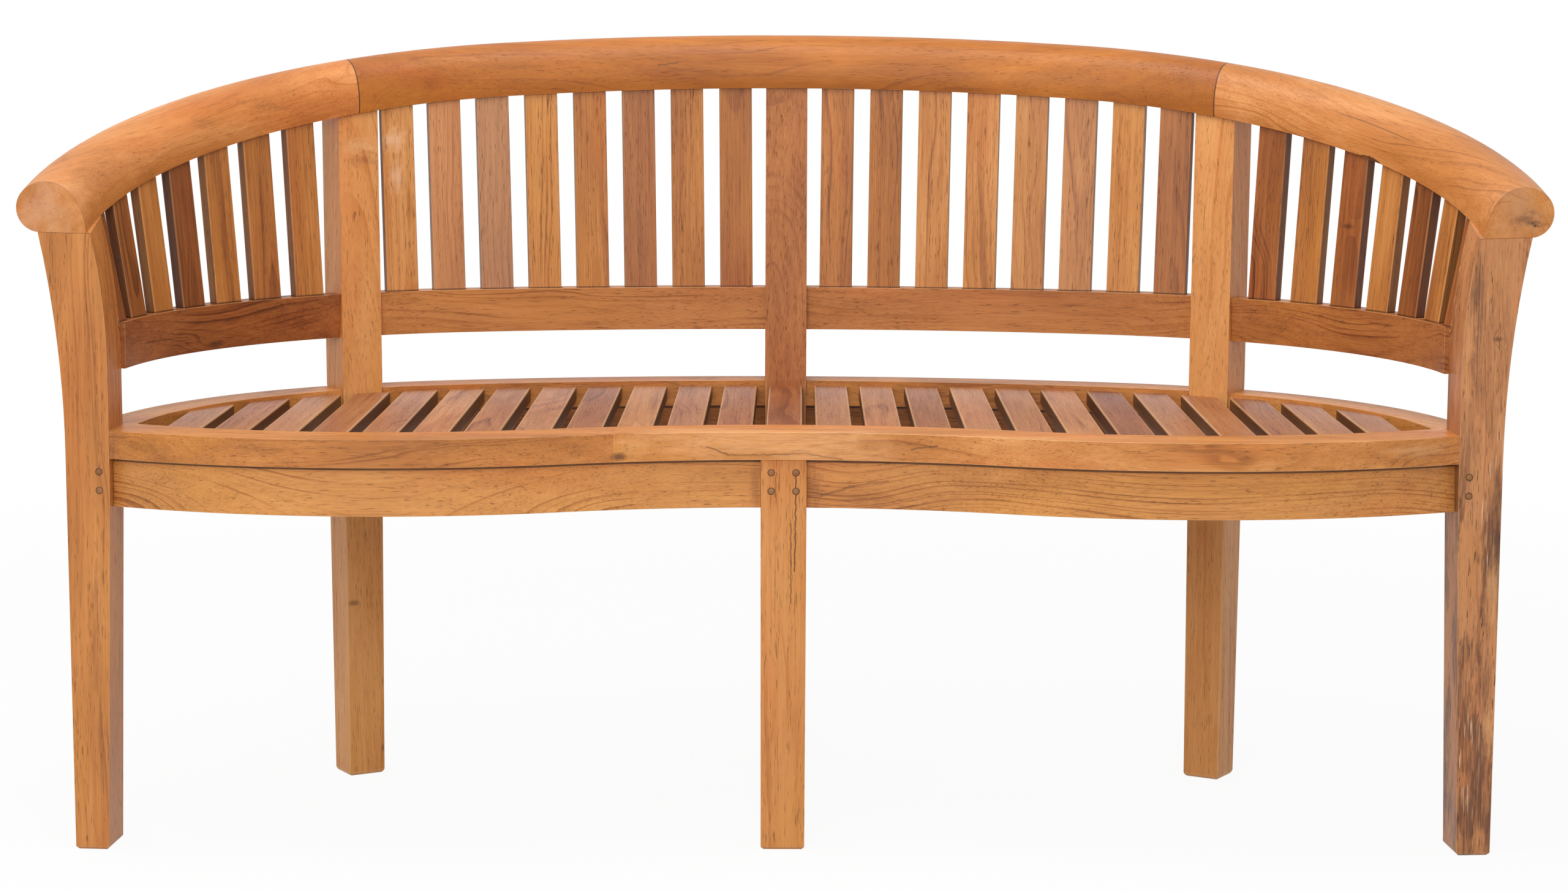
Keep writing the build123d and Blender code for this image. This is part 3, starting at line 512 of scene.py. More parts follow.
# a painted shadow line is a dark line that runs level, at a height, with a half width and a strength: here
# the painted shade under the rim
apronWood = {
    "shades": ("#EAAC68", "#D4924F", "#AA6A33", "#6E3E1A"),
    "lineAmount": 0.34, "wave": 0.3, "ringMm": 4.5,
    "knots": [((75, -235, 392), 16, 14, 0.0)],
    "cracks": [((40, -230, 385), (75, -235, 396), 2.2, 0.45),
               ((75, -235, 396), (111, -240, 402), 1.8, 0.35)],
    # this band and the last one are painted shade, cast by the middle leg on the apron beside it
    "stainsAndPaintedLight": [((33, -230, 390), (12, 30, 35), "#6E3F20", 0.55),
               ((90, -235, 382), (60, 30, 12), "#8A5228", 0.50),
               ((-30, -230, 390), (7, 30, 50), "#6E3F20", 0.50)],
    "paintedShadowLine": (apronTop, 4.2, 0.75),
}
seatSlatWood = {
    "shades": ("#D0A075", "#AD7347", "#86502F", "#552B17"),
    "lineAmount": 0.28, "poreAmount": 0.45, "fibreAmount": 0.6, "wave": 0.6,
    "knots": [((-283, -60, 452), 15, 14, 0.0)],
}
backSlatWood = {
    "shades": ("#D4975A", "#B67539", "#8D532A", "#572D15"),
    "lineAmount": 0.32, "poreAmount": 0.6, "fibreAmount": 0.7, "blotch": 0.65, "wave": 0.7, "drifting": 0.65,
    "ringMm": 5.0, "arris": 0.12,
    "knots": [((633, 20, 656), 4, 6, 0.7), ((561, 100, 657), 16, 16, 0.0)],
    "stainsAndPaintedLight": [((-457, 173, 740), (16, 30, 18), "#E3BB98", 0.6),
               ((-455, 171, 697), (10, 30, 24), "#E3BB98", 0.5)],
    # painted shade where the slats stand in the lower rail
    "paintedShadowLine": (565, 1.8, 0.7),
}
pegLook = {"shades": ("#C08A55", "#A06C3E", "#744626", "#482913"), "lineAmount": 0.2, "arris": 0.0}

teakLegs = teakMaterial("sandedTeakLegs", **legWood)
teakWornLeg = teakMaterial("weatheredTeakLeg", **wornLegWood)
teakTopRail = teakMaterial("sandedTeakTopRail", **topRailWood)
teakLeftArm = teakMaterial("sandedTeakLeftArm", **leftArmWood)
teakRightArm = teakMaterial("sandedTeakRightArm", **rightArmWood)
teakLowerRails = teakMaterial("sandedTeakLowerRails", **lowerRailWood)
teakRims = teakMaterial("sandedTeakRims", **rimWood)
teakAprons = teakMaterial("sandedTeakAprons", **apronWood)
teakSeatSlats = teakMaterial("sandedTeakSeatSlats", **seatSlatWood)
teakBackSlats = teakMaterial("sandedTeakBackSlats", **backSlatWood)
pegWood = teakMaterial("endGrainPegWood", **pegLook)
print("materials made")


# meshes

def meshObject(name, points, edges=(), faces=()):
    mesh = bpy.data.meshes.new(name)
    mesh.from_pydata([tuple(p) for p in points], edges, faces)
    obj = bpy.data.objects.new(name, mesh)
    bpy.context.scene.collection.objects.link(obj)
    return obj


def setVectors(mesh, name, values):
    attribute = mesh.attributes.new(name, "FLOAT_VECTOR", "POINT")
    attribute.data.foreach_set("vector", values)


def bakeModifiers(obj):
    graph = bpy.context.evaluated_depsgraph_get()
    mesh = bpy.data.meshes.new_from_object(obj.evaluated_get(graph), preserve_all_data_layers=True,
                                           depsgraph=graph)
    obj.modifiers.clear()
    old = obj.data
    obj.data = mesh
    bpy.data.meshes.remove(old)
    return obj


def smoothFaces(obj, angle=35):
    # broad faces set the normals, so that eased edges shade evenly
    mesh = obj.data
    mesh.shade_smooth()
    mesh.set_sharp_from_angle(angle=math.radians(angle))
    modifier = obj.modifiers.new("evenNormals", "WEIGHTED_NORMAL")
    modifier.keep_sharp = True
    modifier.weight = 60
    bakeModifiers(obj)


def finish(piece, nodeNames):
    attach(piece, "root")
    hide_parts(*nodeNames)
    return piece


# carved pieces: legs, rails, rims and aprons, with eased edges

# lengths in millimetres and angles in degrees
carving = {
    "merge": 0.01,
    "flatAngle": 0.4,
    "sharpAngle": 28,
    "nearby": 4.0,
    "touch": 1.6,
    "frontEnd": 6.0,
    "frontEase": 0.8,
    # arris on edges that meet another piece: painted shade in the gap between them
    "jointDark": -0.85,
}

nodeTrees = {}
for nodeName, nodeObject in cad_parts.items():
    nodeMesh = nodeObject.data
    nodeTrees[nodeName] = BVHTree.FromPolygons([v.co for v in nodeMesh.vertices],
                                               [tuple(p.vertices) for p in nodeMesh.polygons])
nodeBoxes = {name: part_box(name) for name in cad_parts}


def neighbours(name):
    low, high = nodeBoxes[name]
    reach = carving["nearby"] * mm
    near = []
    for other, (a, b) in nodeBoxes.items():
        if other != name and all(low[i] - reach < b[i] and a[i] < high[i] + reach for i in range(3)):
            near.append(nodeTrees[other])
    return near


def sortEdges(bm, name, shortest, frontApart):
    # free edges, those of them at the front end if these are kept apart, and edges that meet another piece
    front = nodeBoxes[name][0].y + carving["frontEnd"] * mm
    touch = carving["touch"] * mm
    near = neighbours(name)
    free, ends, met = [], [], []
    for edge in bm.edges:
        if len(edge.link_faces) != 2 or not edge.is_convex:
            continue
        if edge.calc_face_angle(0.0) < math.radians(carving["sharpAngle"]):
            continue
        a, b = (vertex.co for vertex in edge.verts)
        spots = [a.lerp(b, share) for share in (0.1, 0.5, 0.9)]
        touching = [any(tree.find_nearest(spot, touch)[0] is not None for tree in near) for spot in spots]
        if not any(touching):
            (ends if frontApart and max(a.y, b.y) < front else free).append(edge)
        elif all(touching) and edge.calc_length() > shortest * mm:
            met.append(edge)
    return free, ends, met


def setGrain(mesh, name, along, tone, red, seed):
    # the pith lies to one side of the board, so that the lines close up towards one edge
    low, high = nodeBoxes[name]
    middle = (low + high) / 2
    along = Vector(along).normalized()
    level = Vector((0, 0, 1)) if abs(along.z) < 0.9 else Vector((0, 1, 0))
    acrossDir = level.cross(along).normalized()
    depthDir = along.cross(acrossDir)
    rng = random.Random(seed)
    shift = Vector((rng.uniform(-30, 30), rng.uniform(0.010, 0.030) * rng.choice((-1, 1)),
                    rng.uniform(0.03, 0.07)))
    grain = []
    for vertex in mesh.vertices:
        rel = vertex.co - middle
        grain += [rel.dot(along) + shift.x, rel.dot(acrossDir) + shift.y, rel.dot(depthDir) + shift.z]
    setVectors(mesh, "grain", grain)
    setVectors(mesh, "board", [tone, red, 0.0] * len(mesh.vertices))


def carve(name, material, along, tone, seed, ease, joint=0.35, red=0.0, shadeAngle=35, shortest=6.0,
          endEdge=1.0):
    # along is the direction of the board's grain; free edges are eased and painted pale, as wear and partly
    # as a painted highlight; edges at joints stay crisp and are painted dark, as the shade in the gap, and
    # endEdge is what arris says on the free edges at the front end
    bm = bmesh.new()
    bm.from_mesh(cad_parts[name].data)
    bmesh.ops.remove_doubles(bm, verts=bm.verts, dist=carving["merge"] * mm)
    flatAngle = math.radians(carving["flatAngle"])
    bmesh.ops.dissolve_limit(bm, angle_limit=flatAngle, verts=bm.verts, edges=bm.edges)
    free, ends, met = sortEdges(bm, name, shortest, frontApart=endEdge < 1)
    mark = bm.faces.layers.float.new("arris")
    # edges that meet another piece get a painted shade line, as the shadow in the gap between them
    for edges, width, value in ((met, joint, carving["jointDark"]), (ends, carving["frontEase"], endEdge),
                                (free, ease, 1.0)):
        edges = [edge for edge in edges if edge.is_valid]
        if not edges:
            continue
        done = bmesh.ops.bevel(bm, geom=edges, offset=width * mm, offset_type="OFFSET", profile=0.5,
                               segments=2 if value > 0 else 1, affect="EDGES", clamp_overlap=True,
                               loop_slide=True)
        for face in done["faces"]:
            face[mark] = value
    for face in bm.faces:
        face.material_index = 0
    obj = meshObject(name + "Carved", [])
    bm.to_mesh(obj.data)
    bm.free()
    obj.data.materials.append(material)
    setGrain(obj.data, name, along, tone, red, seed)
    smoothFaces(obj, shadeAngle)
    return obj


def carveAll(slotName, looks, **common):
    for name, look in looks.items():
        finish(carve(name, **{**common, **look}), [name])


legLook = {
    "front_leg_left": dict(tone=0.44, seed=11),
    "front_leg_right": dict(tone=0.26, seed=12, material=teakWornLeg),
    "front_leg_middle": dict(tone=0.30, seed=13),
    "back_leg_left": dict(tone=0.24, seed=14),
    "back_leg_right": dict(tone=0.22, seed=15),
    "back_leg_middle": dict(tone=0.62, red=0.08, seed=16),
}
carveAll("teak_legs", legLook, material=teakLegs, ease=1.8, along=(0, 0, 1))

railLook = {
    "top_rail_centre": dict(along=(1, 0, 0), tone=0.52, seed=21),
    "arm_rail_left": dict(along=(0.55, 0.83, 0.2), tone=0.36, seed=22, material=teakLeftArm),
    "arm_rail_right": dict(along=(-0.55, 0.83, 0.2), tone=0.40, seed=23, material=teakRightArm),
}
# endEdge below zero paints the rails' front end edges dark: a painted shadow line along the end face
carveAll("teak_top_rail", railLook, material=teakTopRail, ease=1.5, joint=0.6, shadeAngle=40, shortest=1.0,
         endEdge=-0.5)

lowerLook = {
    "lower_back_rail_left": dict(along=(0.97, 0.2, 0), tone=0.26, seed=31),
    "lower_back_rail_right": dict(along=(0.97, -0.2, 0), tone=0.33, red=0.05, seed=32),
    "lower_arm_rail_left": dict(along=(0.5, 0.86, 0), tone=0.58, red=0.15, seed=33),
    "lower_arm_rail_right": dict(along=(-0.5, 0.86, 0), tone=0.46, red=0.1, seed=34),
}
carveAll("teak_lower_rails", lowerLook, material=teakLowerRails, ease=1.2)

rimLook = {
    "seat_rim_front_left": dict(along=(1, 0, 0), tone=0.50, seed=41),
    "seat_rim_front_right": dict(along=(1, 0, 0), tone=0.42, seed=42),
    "seat_rim_side_left": dict(along=(0.5, 0.86, 0), tone=0.45, seed=43),
    "seat_rim_side_right": dict(along=(-0.5, 0.86, 0), tone=0.45, seed=44),
    "seat_rim_back_left": dict(along=(0.97, 0.2, 0), tone=0.50, seed=45),
    "seat_rim_back_right": dict(along=(0.97, -0.2, 0), tone=0.50, seed=46),
}
carveAll("teak_rims", rimLook, material=teakRims, ease=2.2)

apronLook = {
    "apron_front_left": dict(along=(1, 0, 0), tone=0.45, seed=51),
    "apron_front_right": dict(along=(1, 0, 0), tone=0.5, seed=52),
    "apron_side_left": dict(along=(0.5, 0.86, 0), tone=0.5, seed=53),
    "apron_side_right": dict(along=(-0.5, 0.86, 0), tone=0.5, seed=54),
    # the back aprons and the stretcher are toned darker, as painted shade under the seat where they show
    # between the slats
    "apron_back_left": dict(along=(0.97, 0.2, 0), tone=0.78, seed=55),
    "apron_back_right": dict(along=(0.97, -0.2, 0), tone=0.78, seed=56),
    "seat_stretcher": dict(along=(0, 1, 0), tone=0.8, seed=57),
}
carveAll("teak_aprons", apronLook, material=teakAprons, ease=1.2)
print("legs, rails, rims and aprons carved")


# geometry nodes that the slats, the seat and the pegs share

def newTree(name, inputs):
    # gives back the tree, what adds nodes to it, and its named inputs
    tree = bpy.data.node_groups.new(name, "GeometryNodeTree")
    tree.is_modifier = True
    for label, kind in {"Geometry": "Geometry", **inputs}.items():
        tree.interface.new_socket(label, in_out="INPUT", socket_type="NodeSocket" + kind)
    tree.interface.new_socket("Geometry", in_out="OUTPUT", socket_type="NodeSocketGeometry")
    return tree, partial(addNode, tree), tree.nodes.new("NodeGroupInput").outputs


def useTree(obj, tree, values):
    modifier = obj.modifiers.new(tree.name, "NODES")
    modifier.node_group = tree
    for item in tree.interface.items_tree:
        if item.in_out == "INPUT" and item.name in values:
            modifier[item.identifier] = values[item.name]
    return bakeModifiers(obj)


def roundedBar(add, given, steps):
    # a closed bar of unit length along z, with its four long edges rounded
    outline = add("GeometryNodeCurvePrimitiveQuadrilateral", given["Width"], given["Thickness"],
                  mode="RECTANGLE")
    outline = add("GeometryNodeFilletCurve", outline, Count=3, Radius=given["Edge Radius"], Limit_Radius=True,
                  mode="POLY")
    line = add("GeometryNodeCurvePrimitiveLine", (0, 0, 0), (0, 0, 1), mode="POINTS")
    line = add("GeometryNodeResampleCurve", line, Count=steps, mode="COUNT")
    return add("GeometryNodeCurveToMesh", line, Profile_Curve=outline, Fill_Caps=True)


def standOnPoints(add, points, bar, **kept):
    # stores each point's place, its number and what is kept, and makes real copies of the bar on the points;
    # gives back the copies, where a vertex lies in its own copy, and what was stored
    position = add("GeometryNodeInputPosition")
    facts = {"foot": ("FLOAT_VECTOR", position), "slatIndex": ("INT", add("GeometryNodeInputIndex"))}
    facts.update({name: ("FLOAT_VECTOR", value) for name, value in kept.items()})
    for name, (kind, value) in facts.items():
        points = add("GeometryNodeStoreNamedAttribute", points, Name=name, Value=value, data_type=kind,
                     domain="POINT")
    bars = add("GeometryNodeRealizeInstances", add("GeometryNodeInstanceOnPoints", points, Instance=bar))
    found = [add("GeometryNodeInputNamedAttribute", name, data_type=facts[name][0]) for name in facts]
    inBar = add(vectorNode, position, found[0], operation="SUBTRACT")
    return bars, add("ShaderNodeSeparateXYZ", inBar, out=xyz), *found


def paleEdgesAndFlankShade(add, steep=0.2, flat=0.97, dark=-0.6):
    # 1 on the rounded arrises, pale as wear and partly as a painted highlight; below zero on the narrow
    # sides, painted shade between the slats; 0 on the broad faces
    sideways, forwards = (add(mathNode, part, operation="ABSOLUTE") for part in
                          add("ShaderNodeSeparateXYZ", add("GeometryNodeInputNormal"), out=("X", "Y")))
    leans = [add(mathNode, part, steep, operation="GREATER_THAN") for part in (sideways, forwards)]
    corner = add(mathNode, *leans, operation="MULTIPLY")
    flank = add(mathNode, sideways, flat, operation="GREATER_THAN")
    return addUp(add, corner, (flank, dark, 0.0))


def dressBars(add, given, bars, number, place, grain, wearAndShade, spread=(0.05, 0.02, 0.06), domain="FACE",
              flip=False):
    # moves the bars into place, each with a stretch of grain of its own; spread is how far the grain shifts
    # across the board, and between which depths
    across, shallow, deep = spread
    chance = add("FunctionNodeRandomValue", (-30, -across, shallow), (30, across, deep), ID=number,
                 Seed=given["Seed"], data_type="FLOAT_VECTOR")
    grain = add(vectorNode, add("ShaderNodeCombineXYZ", *grain), chance, operation="ADD")
    # arris holds pale edges and painted shade: slat sides, and the dark ring round each peg
    for name, value, kind, where in (("grain", grain, "FLOAT_VECTOR", "POINT"),
                                     ("arris", wearAndShade, "FLOAT", domain)):
        bars = add("GeometryNodeStoreNamedAttribute", bars, Name=name, Value=value, data_type=kind,
                   domain=where)
    bars = add("GeometryNodeSetPosition", bars, Position=place)
    if flip:
        bars = add("GeometryNodeFlipFaces", bars)
    bars = add("GeometryNodeRealizeInstances", bars)
    add("NodeGroupOutput", add("GeometryNodeSetMaterial", bars, Material=given["Material"]))


def paintBoards(obj, tones):
    # tones are given board by board, by the index that the tree stored
    mesh = obj.data
    numbers = [0] * len(mesh.vertices)
    mesh.attributes["slatIndex"].data.foreach_get("value", numbers)
    values = []
    for number in numbers:
        values += tones[min(number, len(tones) - 1)]
    setVectors(mesh, "board", values)
    for spare in ("foot", "climb", "across"):
        if mesh.attributes.get(spare):
            mesh.attributes.remove(mesh.attributes[spare])


# back and arm slats: the same tree on two guide lines, one at each rail

slatTree, add, given = newTree("uprightSlats", {
    "Top Guide": "Object", "Count": "Int", "Width": "Float", "End Width": "Float", "Thickness": "Float",
    "Edge Radius": "Float", "Sink": "Float", "Rise": "Float", "Seed": "Int", "Material": "Material"})
guide = add("GeometryNodeObjectInfo", given["Top Guide"], transform_space="RELATIVE", out="Geometry")
feet, heads = (add("GeometryNodeResampleCurve", add("GeometryNodeMeshToCurve", line), Count=given["Count"],
                   mode="COUNT") for line in (given["Geometry"], guide))
position = add("GeometryNodeInputPosition")
head = add("GeometryNodeSampleIndex", heads, position, add("GeometryNodeInputIndex"),
           data_type="FLOAT_VECTOR", domain="POINT")
climb = add(vectorNode, head, position, operation="SUBTRACT")
# the bar stands still on every point; it is bent into place after the copies are made real
bars, (x, y, z), foot, number, climb, side = standOnPoints(
    add, feet, roundedBar(add, given, 9), climb=climb, across=add("GeometryNodeInputTangent"))
# the last slat may be narrower, and keeps the gap on its inner side
lastNumber = add(mathNode, given["Count"], 1, operation="SUBTRACT")
isLast = add("FunctionNodeCompare", number, lastNumber, data_type="INT", operation="EQUAL")
slimmer = add(mathNode, given["Width"], given["End Width"], operation="SUBTRACT")
slimmer = add(mathNode, slimmer, isLast, operation="MULTIPLY")
width = add(mathNode, given["Width"], slimmer, operation="SUBTRACT")
ratio = add(mathNode, width, given["Width"], operation="DIVIDE")
xLocal = addUp(add, add(mathNode, x, ratio, operation="MULTIPLY"), (slimmer, -0.5, 0.0))
# the guide runs away from the middle of the back, so outward flips on one side, to point away from the seat
outward = add(vectorNode, (0, 0, 1), side, operation="CROSS_PRODUCT")
outward = add(vectorNode, outward, operation="NORMALIZE")
facing = add(vectorNode, climb, outward, operation="DOT_PRODUCT")
facing = add(mathNode, facing, operation="SIGN")
outward = add(vectorNode, outward, facing, operation="SCALE")
yLocal = addUp(add, y, (given["Thickness"], 0.5, 0.0))
stretch = add(mathNode, add(mathNode, given["Sink"], given["Rise"], operation="ADD"), 1.0,
              operation="ADD")
zLocal = add(mathNode, add(mathNode, z, stretch, operation="MULTIPLY"), given["Sink"],
             operation="SUBTRACT")
length = add(vectorNode, climb, operation="LENGTH")
up = add(mathNode, zLocal, length, operation="MULTIPLY")
place = setOut(add, foot, (climb, zLocal), (side, xLocal), (outward, yLocal))
dressBars(add, given, bars, number, place, grain=(up, xLocal, yLocal), wearAndShade=paleEdgesAndFlankShade(add))

# sizes in millimetres; low and top say how far along the rails the first and the last slat stand, and sink
# and rise are shares of a slat's length that are hidden in the rails
uprights = {
    "width": 38.3,
    "thick": 12.5,
    "edge": 1.4,
    "footOffset": 5.0,
    "footHeight": 565.0,
    "headOffset": 3.0,
    "sink": 0.05,
    "rise": 0.05,
    "guideSteps": 60,
    "back": dict(count=8, endWidth=38.3, low=(58.65, 455.0), top=(60.6, 463.5)),
    "arm": dict(count=7, endWidth=22.0, low=(572.0, 911.0), top=(588.5, 947.0)),
}
# how dark, how red and how grey each slat is, counted outwards from the middle leg or the back leg
slatTones = {
    "back_slats_left": [(0.62, 0.05, 0), (0.48, 0, 0), (0.60, 0.05, 0.1), (0.46, 0, 0), (0.30, 0, 0),
                        (0.36, 0, 0.40), (0.28, 0, 0.25), (0.20, 0, 0)],
    "back_slats_right": [(0.56, 0.05, 0), (0.55, 0.05, 0), (0.34, 0, 0), (0.30, 0, 0), (0.38, 0, 0.1),
                         (0.36, 0, 0.2), (0.28, 0, 0), (0.58, 0.1, 0.1)],
    "arm_slats_left": [(0.45, 0.05, 0), (0.55, 0.05, 0), (0.40, 0, 0), (0.80, 0.1, 0), (0.42, 0, 0),
                       (0.62, 0.1, 0), (0.75, 0.2, 0)],
    "arm_slats_right": [(0.66, 0.2, 0), (0.46, 0, 0), (0.64, 0.05, 0), (0.44, 0, 0), (0.74, 0.2, 0),
                        (0.40, 0, 0), (0.62, 0.1, 0)],
}


def footPoint(run, side):
    x, y = pointOn(lines["lower"], headingAtRun(lines["lower"], run), uprights["footOffset"])
    return inMetres(x, y, uprights["footHeight"], side)


def headPoint(run, side):
    # near the inner lower edge of the top rail
    x, y = pointOn(lines["top"], headingAtRun(lines["top"], run), uprights["headOffset"])
    y *= math.cos(railTilt)
    return inMetres(x, y, lines["railLow"] + lines["railSlope"] * y, side)


def guideLine(name, pointAt, runs, narrow, side):
    # ends where the last slat would be centred if it were as wide as the others
    first, last = runs
    steps = uprights["guideSteps"]
    points = [pointAt(first + (last + narrow - first) * i / steps, side) for i in range(steps + 1)]
    return meshObject(name, points, [(i, i + 1) for i in range(steps)])


for part, kind, side, seed in (("back_slats_right", "back", 1, 61), ("back_slats_left", "back", -1, 62),
                               ("arm_slats_right", "arm", 1, 63), ("arm_slats_left", "arm", -1, 64)):
    spec = uprights[kind]
    narrow = (uprights["width"] - spec["endWidth"]) / 2
    lowGuide = guideLine(part + "Rows", footPoint, spec["low"], narrow, side)
    topGuide = guideLine(part + "Heads", headPoint, spec["top"], narrow, side)
    slats = useTree(lowGuide, slatTree, {
        "Top Guide": topGuide, "Count": spec["count"], "Width": uprights["width"] * mm,
        "End Width": spec["endWidth"] * mm, "Thickness": uprights["thick"] * mm,
        "Edge Radius": uprights["edge"] * mm, "Sink": uprights["sink"], "Rise": uprights["rise"],
        "Seed": seed, "Material": teakBackSlats})
    paintBoards(slats, slatTones[part])
    bpy.data.objects.remove(topGuide)
    smoothFaces(slats)
    finish(slats, [part])
print("back and arm slats made")


# seat slats: bars between two walls that stand on the rims' inner edges

seat = {
    "pairs": 12,
    "pitch": 53.5,
    "width": 39.0,
    "thick": 18.0,
    "edge": 1.8,
    "drop": 1.5,
    "slope": 0.01134,
    "seed": 71,
    "rowDepth": 250,             # the row of slats is laid out this far behind the front of the middle leg
    "wallHeights": (300, 600),
    "frontWallReach": 700,
    "frontWallStep": 4,
    "backWallTurn": 0.5,         # the back wall has a point for every half degree, up to just under 85
    "backWallPoints": 170,
}


def frontEdge(x, inset):
    # the front rim's outer line is a dip in the middle between two lobes
    dipCentre = lines["rimFront"] - lines["dipRadius"]
    between = lines["dipRadius"] + lines["lobeRadius"]
    lobeCentre = dipCentre + math.sqrt(between ** 2 - lines["lobeSpread"] ** 2)
    swing = math.atan2(lines["lobeSpread"], lobeCentre - dipCentre)
    dip = lines["dipRadius"] + inset
    if abs(x) < dip * math.sin(swing):
        return dipCentre + math.sqrt(dip ** 2 - x ** 2)
    return lobeCentre - math.sqrt((lines["lobeRadius"] - inset) ** 2 - (abs(x) - lines["lobeSpread"]) ** 2)


def wall(name, points):
    low, high = ([inMetres(x, y, height) for x, y in points] for height in seat["wallHeights"])
    n = len(points)
    return meshObject(name, low + high, (), [(i, i + 1, n + i + 1, n + i) for i in range(n - 1)])


frontReach = range(-seat["frontWallReach"], seat["frontWallReach"] + 1, seat["frontWallStep"])
frontWall = wall("frontRimWall", [(x, frontEdge(x, lines["rimDepth"])) for x in frontReach])
rearSide = [pointOn(lines["seat"], h * seat["backWallTurn"], -lines["backRimDepth"])
            for h in range(seat["backWallPoints"])]
rearWall = wall("backRimWall", [(-x, y) for x, y in reversed(rearSide[1:])] + rearSide)

seatTree, add, given = newTree("seatSlats", {
    "Front Wall": "Object", "Back Wall": "Object", "Count": "Int", "Pitch": "Float", "Width": "Float",
    "Thickness": "Float", "Edge Radius": "Float", "Slope": "Float", "Seed": "Int", "Material": "Material"})
step = add("ShaderNodeCombineXYZ", given["Pitch"])
gaps = add(mathNode, given["Count"], 1, operation="SUBTRACT")
middle = add("GeometryNodeSampleIndex", given["Geometry"], add("GeometryNodeInputPosition"),
             data_type="FLOAT_VECTOR", domain="POINT")
start = setOut(add, middle, (step, add(mathNode, gaps, -0.5, operation="MULTIPLY")))
row = add("GeometryNodeMeshLine", given["Count"], start, step, mode="OFFSET")
bars, (x, y, z), foot, number = standOnPoints(add, row, roundedBar(add, given, 14))
rowX, rowY, rowZ = add("ShaderNodeSeparateXYZ", foot, out=xyz)
xHere = add(mathNode, rowX, x, operation="ADD")
rayStart = add("ShaderNodeCombineXYZ", xHere, rowY, rowZ)


def meetWall(label, direction):
    # how far back a ray along the slat meets a wall
    target = add("GeometryNodeObjectInfo", given[label], transform_space="RELATIVE", out="Geometry")
    hit = add("GeometryNodeRaycast", target, Source_Position=rayStart, Ray_Direction=(0, direction, 0),
              Ray_Length=2.0, data_type="FLOAT", out="Hit Position")
    return add("ShaderNodeSeparateXYZ", hit, out="Y")


yFront, yBack = meetWall("Front Wall", -1), meetWall("Back Wall", 1)
length = add(mathNode, yBack, yFront, operation="SUBTRACT")
yHere = add(mathNode, z, length, yFront, operation="MULTIPLY_ADD")
behind = add(mathNode, yHere, rowY, operation="SUBTRACT")
fall = add(mathNode, behind, given["Slope"], operation="MULTIPLY")
# the bar's thickness hangs below the row's height
drop = add(mathNode, addUp(add, y, (given["Thickness"], -0.5, 0.0)), fall, operation="SUBTRACT")
zHere = add(mathNode, rowZ, drop, operation="ADD")
place = add("ShaderNodeCombineXYZ", xHere, yHere, zHere)
dressBars(add, given, bars, number, place, grain=(yHere, x, y), wearAndShade=paleEdgesAndFlankShade(add), flip=True)

# how dark, how red and how grey each slat is, left to right
seatTones = [(0.52, 0, 0.1), (0.60, 0.1, 0), (0.45, 0, 0.1), (0.58, 0, 0), (0.52, 0.05, 0.1),
             (0.44, 0, 0), (0.60, 0.1, 0), (0.50, 0, 0.1), (0.66, 0.1, 0), (0.46, 0, 0),
             (0.56, 0, 0.1), (0.62, 0.1, 0), (0.62, 0.35, 0), (0.56, 0.05, 0.1), (0.50, 0, 0),
             (0.64, 0.1, 0), (0.48, 0, 0.1), (0.56, 0, 0), (0.44, 0, 0), (0.68, 0.1, 0),
             (0.54, 0, 0.1), (0.46, 0, 0), (0.60, 0.05, 0), (0.52, 0, 0.1), (0.56, 0, 0)]
rowFall = (seat["rowDepth"] - (lines["rimDepth"] + lines["rimFront"])) * seat["slope"]
rowHeight = lines["seatHeight"] - seat["drop"] - rowFall
seatRow = meshObject("seatSlatsRow", [inMetres(0, seat["rowDepth"], rowHeight)])
seatSlats = useTree(seatRow, seatTree, {
    "Front Wall": frontWall, "Back Wall": rearWall, "Count": 2 * seat["pairs"] + 1,
    "Pitch": seat["pitch"] * mm, "Width": seat["width"] * mm, "Thickness": seat["thick"] * mm,
    "Edge Radius": seat["edge"] * mm, "Slope": seat["slope"], "Seed": seat["seed"],
    "Material": teakSeatSlats})
paintBoards(seatSlats, seatTones)
bpy.data.objects.remove(frontWall)
bpy.data.objects.remove(rearWall)
smoothFaces(seatSlats)
seatNodes = ["seat_slat_middle"] + [f"seat_slat_{hand}_{i}" for hand in ("left", "right")
                                    for i in range(1, seat["pairs"] + 1)]
finish(seatSlats, seatNodes)
print("seat slats made")


# pegs

pegTree, add, given = newTree("apronPegs", {"Radius": "Float", "Length": "Float", "Proud": "Float",
                                            "Dome": "Float", "Seed": "Int", "Material": "Material"})
barrel = add("GeometryNodeMeshCylinder", Vertices=20, Side_Segments=2, Fill_Segments=3,
             Radius=given["Radius"], Depth=given["Length"], fill_type="TRIANGLE_FAN")
bars, (x, y, z), foot, number = standOnPoints(add, given["Geometry"], barrel)
lean = add("GeometryNodeInputNamedAttribute", "axis", data_type="FLOAT_VECTOR")
# the peg's outer end is domed: it falls back towards its rim
away = add(vectorNode, add("ShaderNodeCombineXYZ", x, y), operation="LENGTH")
away = add(mathNode, away, given["Radius"], operation="DIVIDE")
bend = add(mathNode, add(mathNode, away, 2.0, operation="POWER"), given["Dome"],
           operation="MULTIPLY")
outerHalf = add(mathNode, z, 0.0, operation="LESS_THAN")
depth = addUp(add, z, (given["Length"], 0.5, 0.0), (given["Proud"], -1.0, 0.0), (bend, outerHalf, 0.0))
sideways = add(vectorNode, lean, (0, 0, 1), operation="CROSS_PRODUCT")
# the outer ring of each peg's end is painted dark, as the shade in the gap round the peg
onRim = add(mathNode, away, 0.9, operation="GREATER_THAN")
darkRim = add(mathNode, onRim, -1.0, operation="MULTIPLY")
place = setOut(add, foot, (lean, depth), (sideways, x), ((0, 0, 1), y))
dressBars(add, given, bars, number, place, grain=(z, x, y), wearAndShade=darkRim, spread=(0.01, 0.0, 0.01),
          domain="POINT")

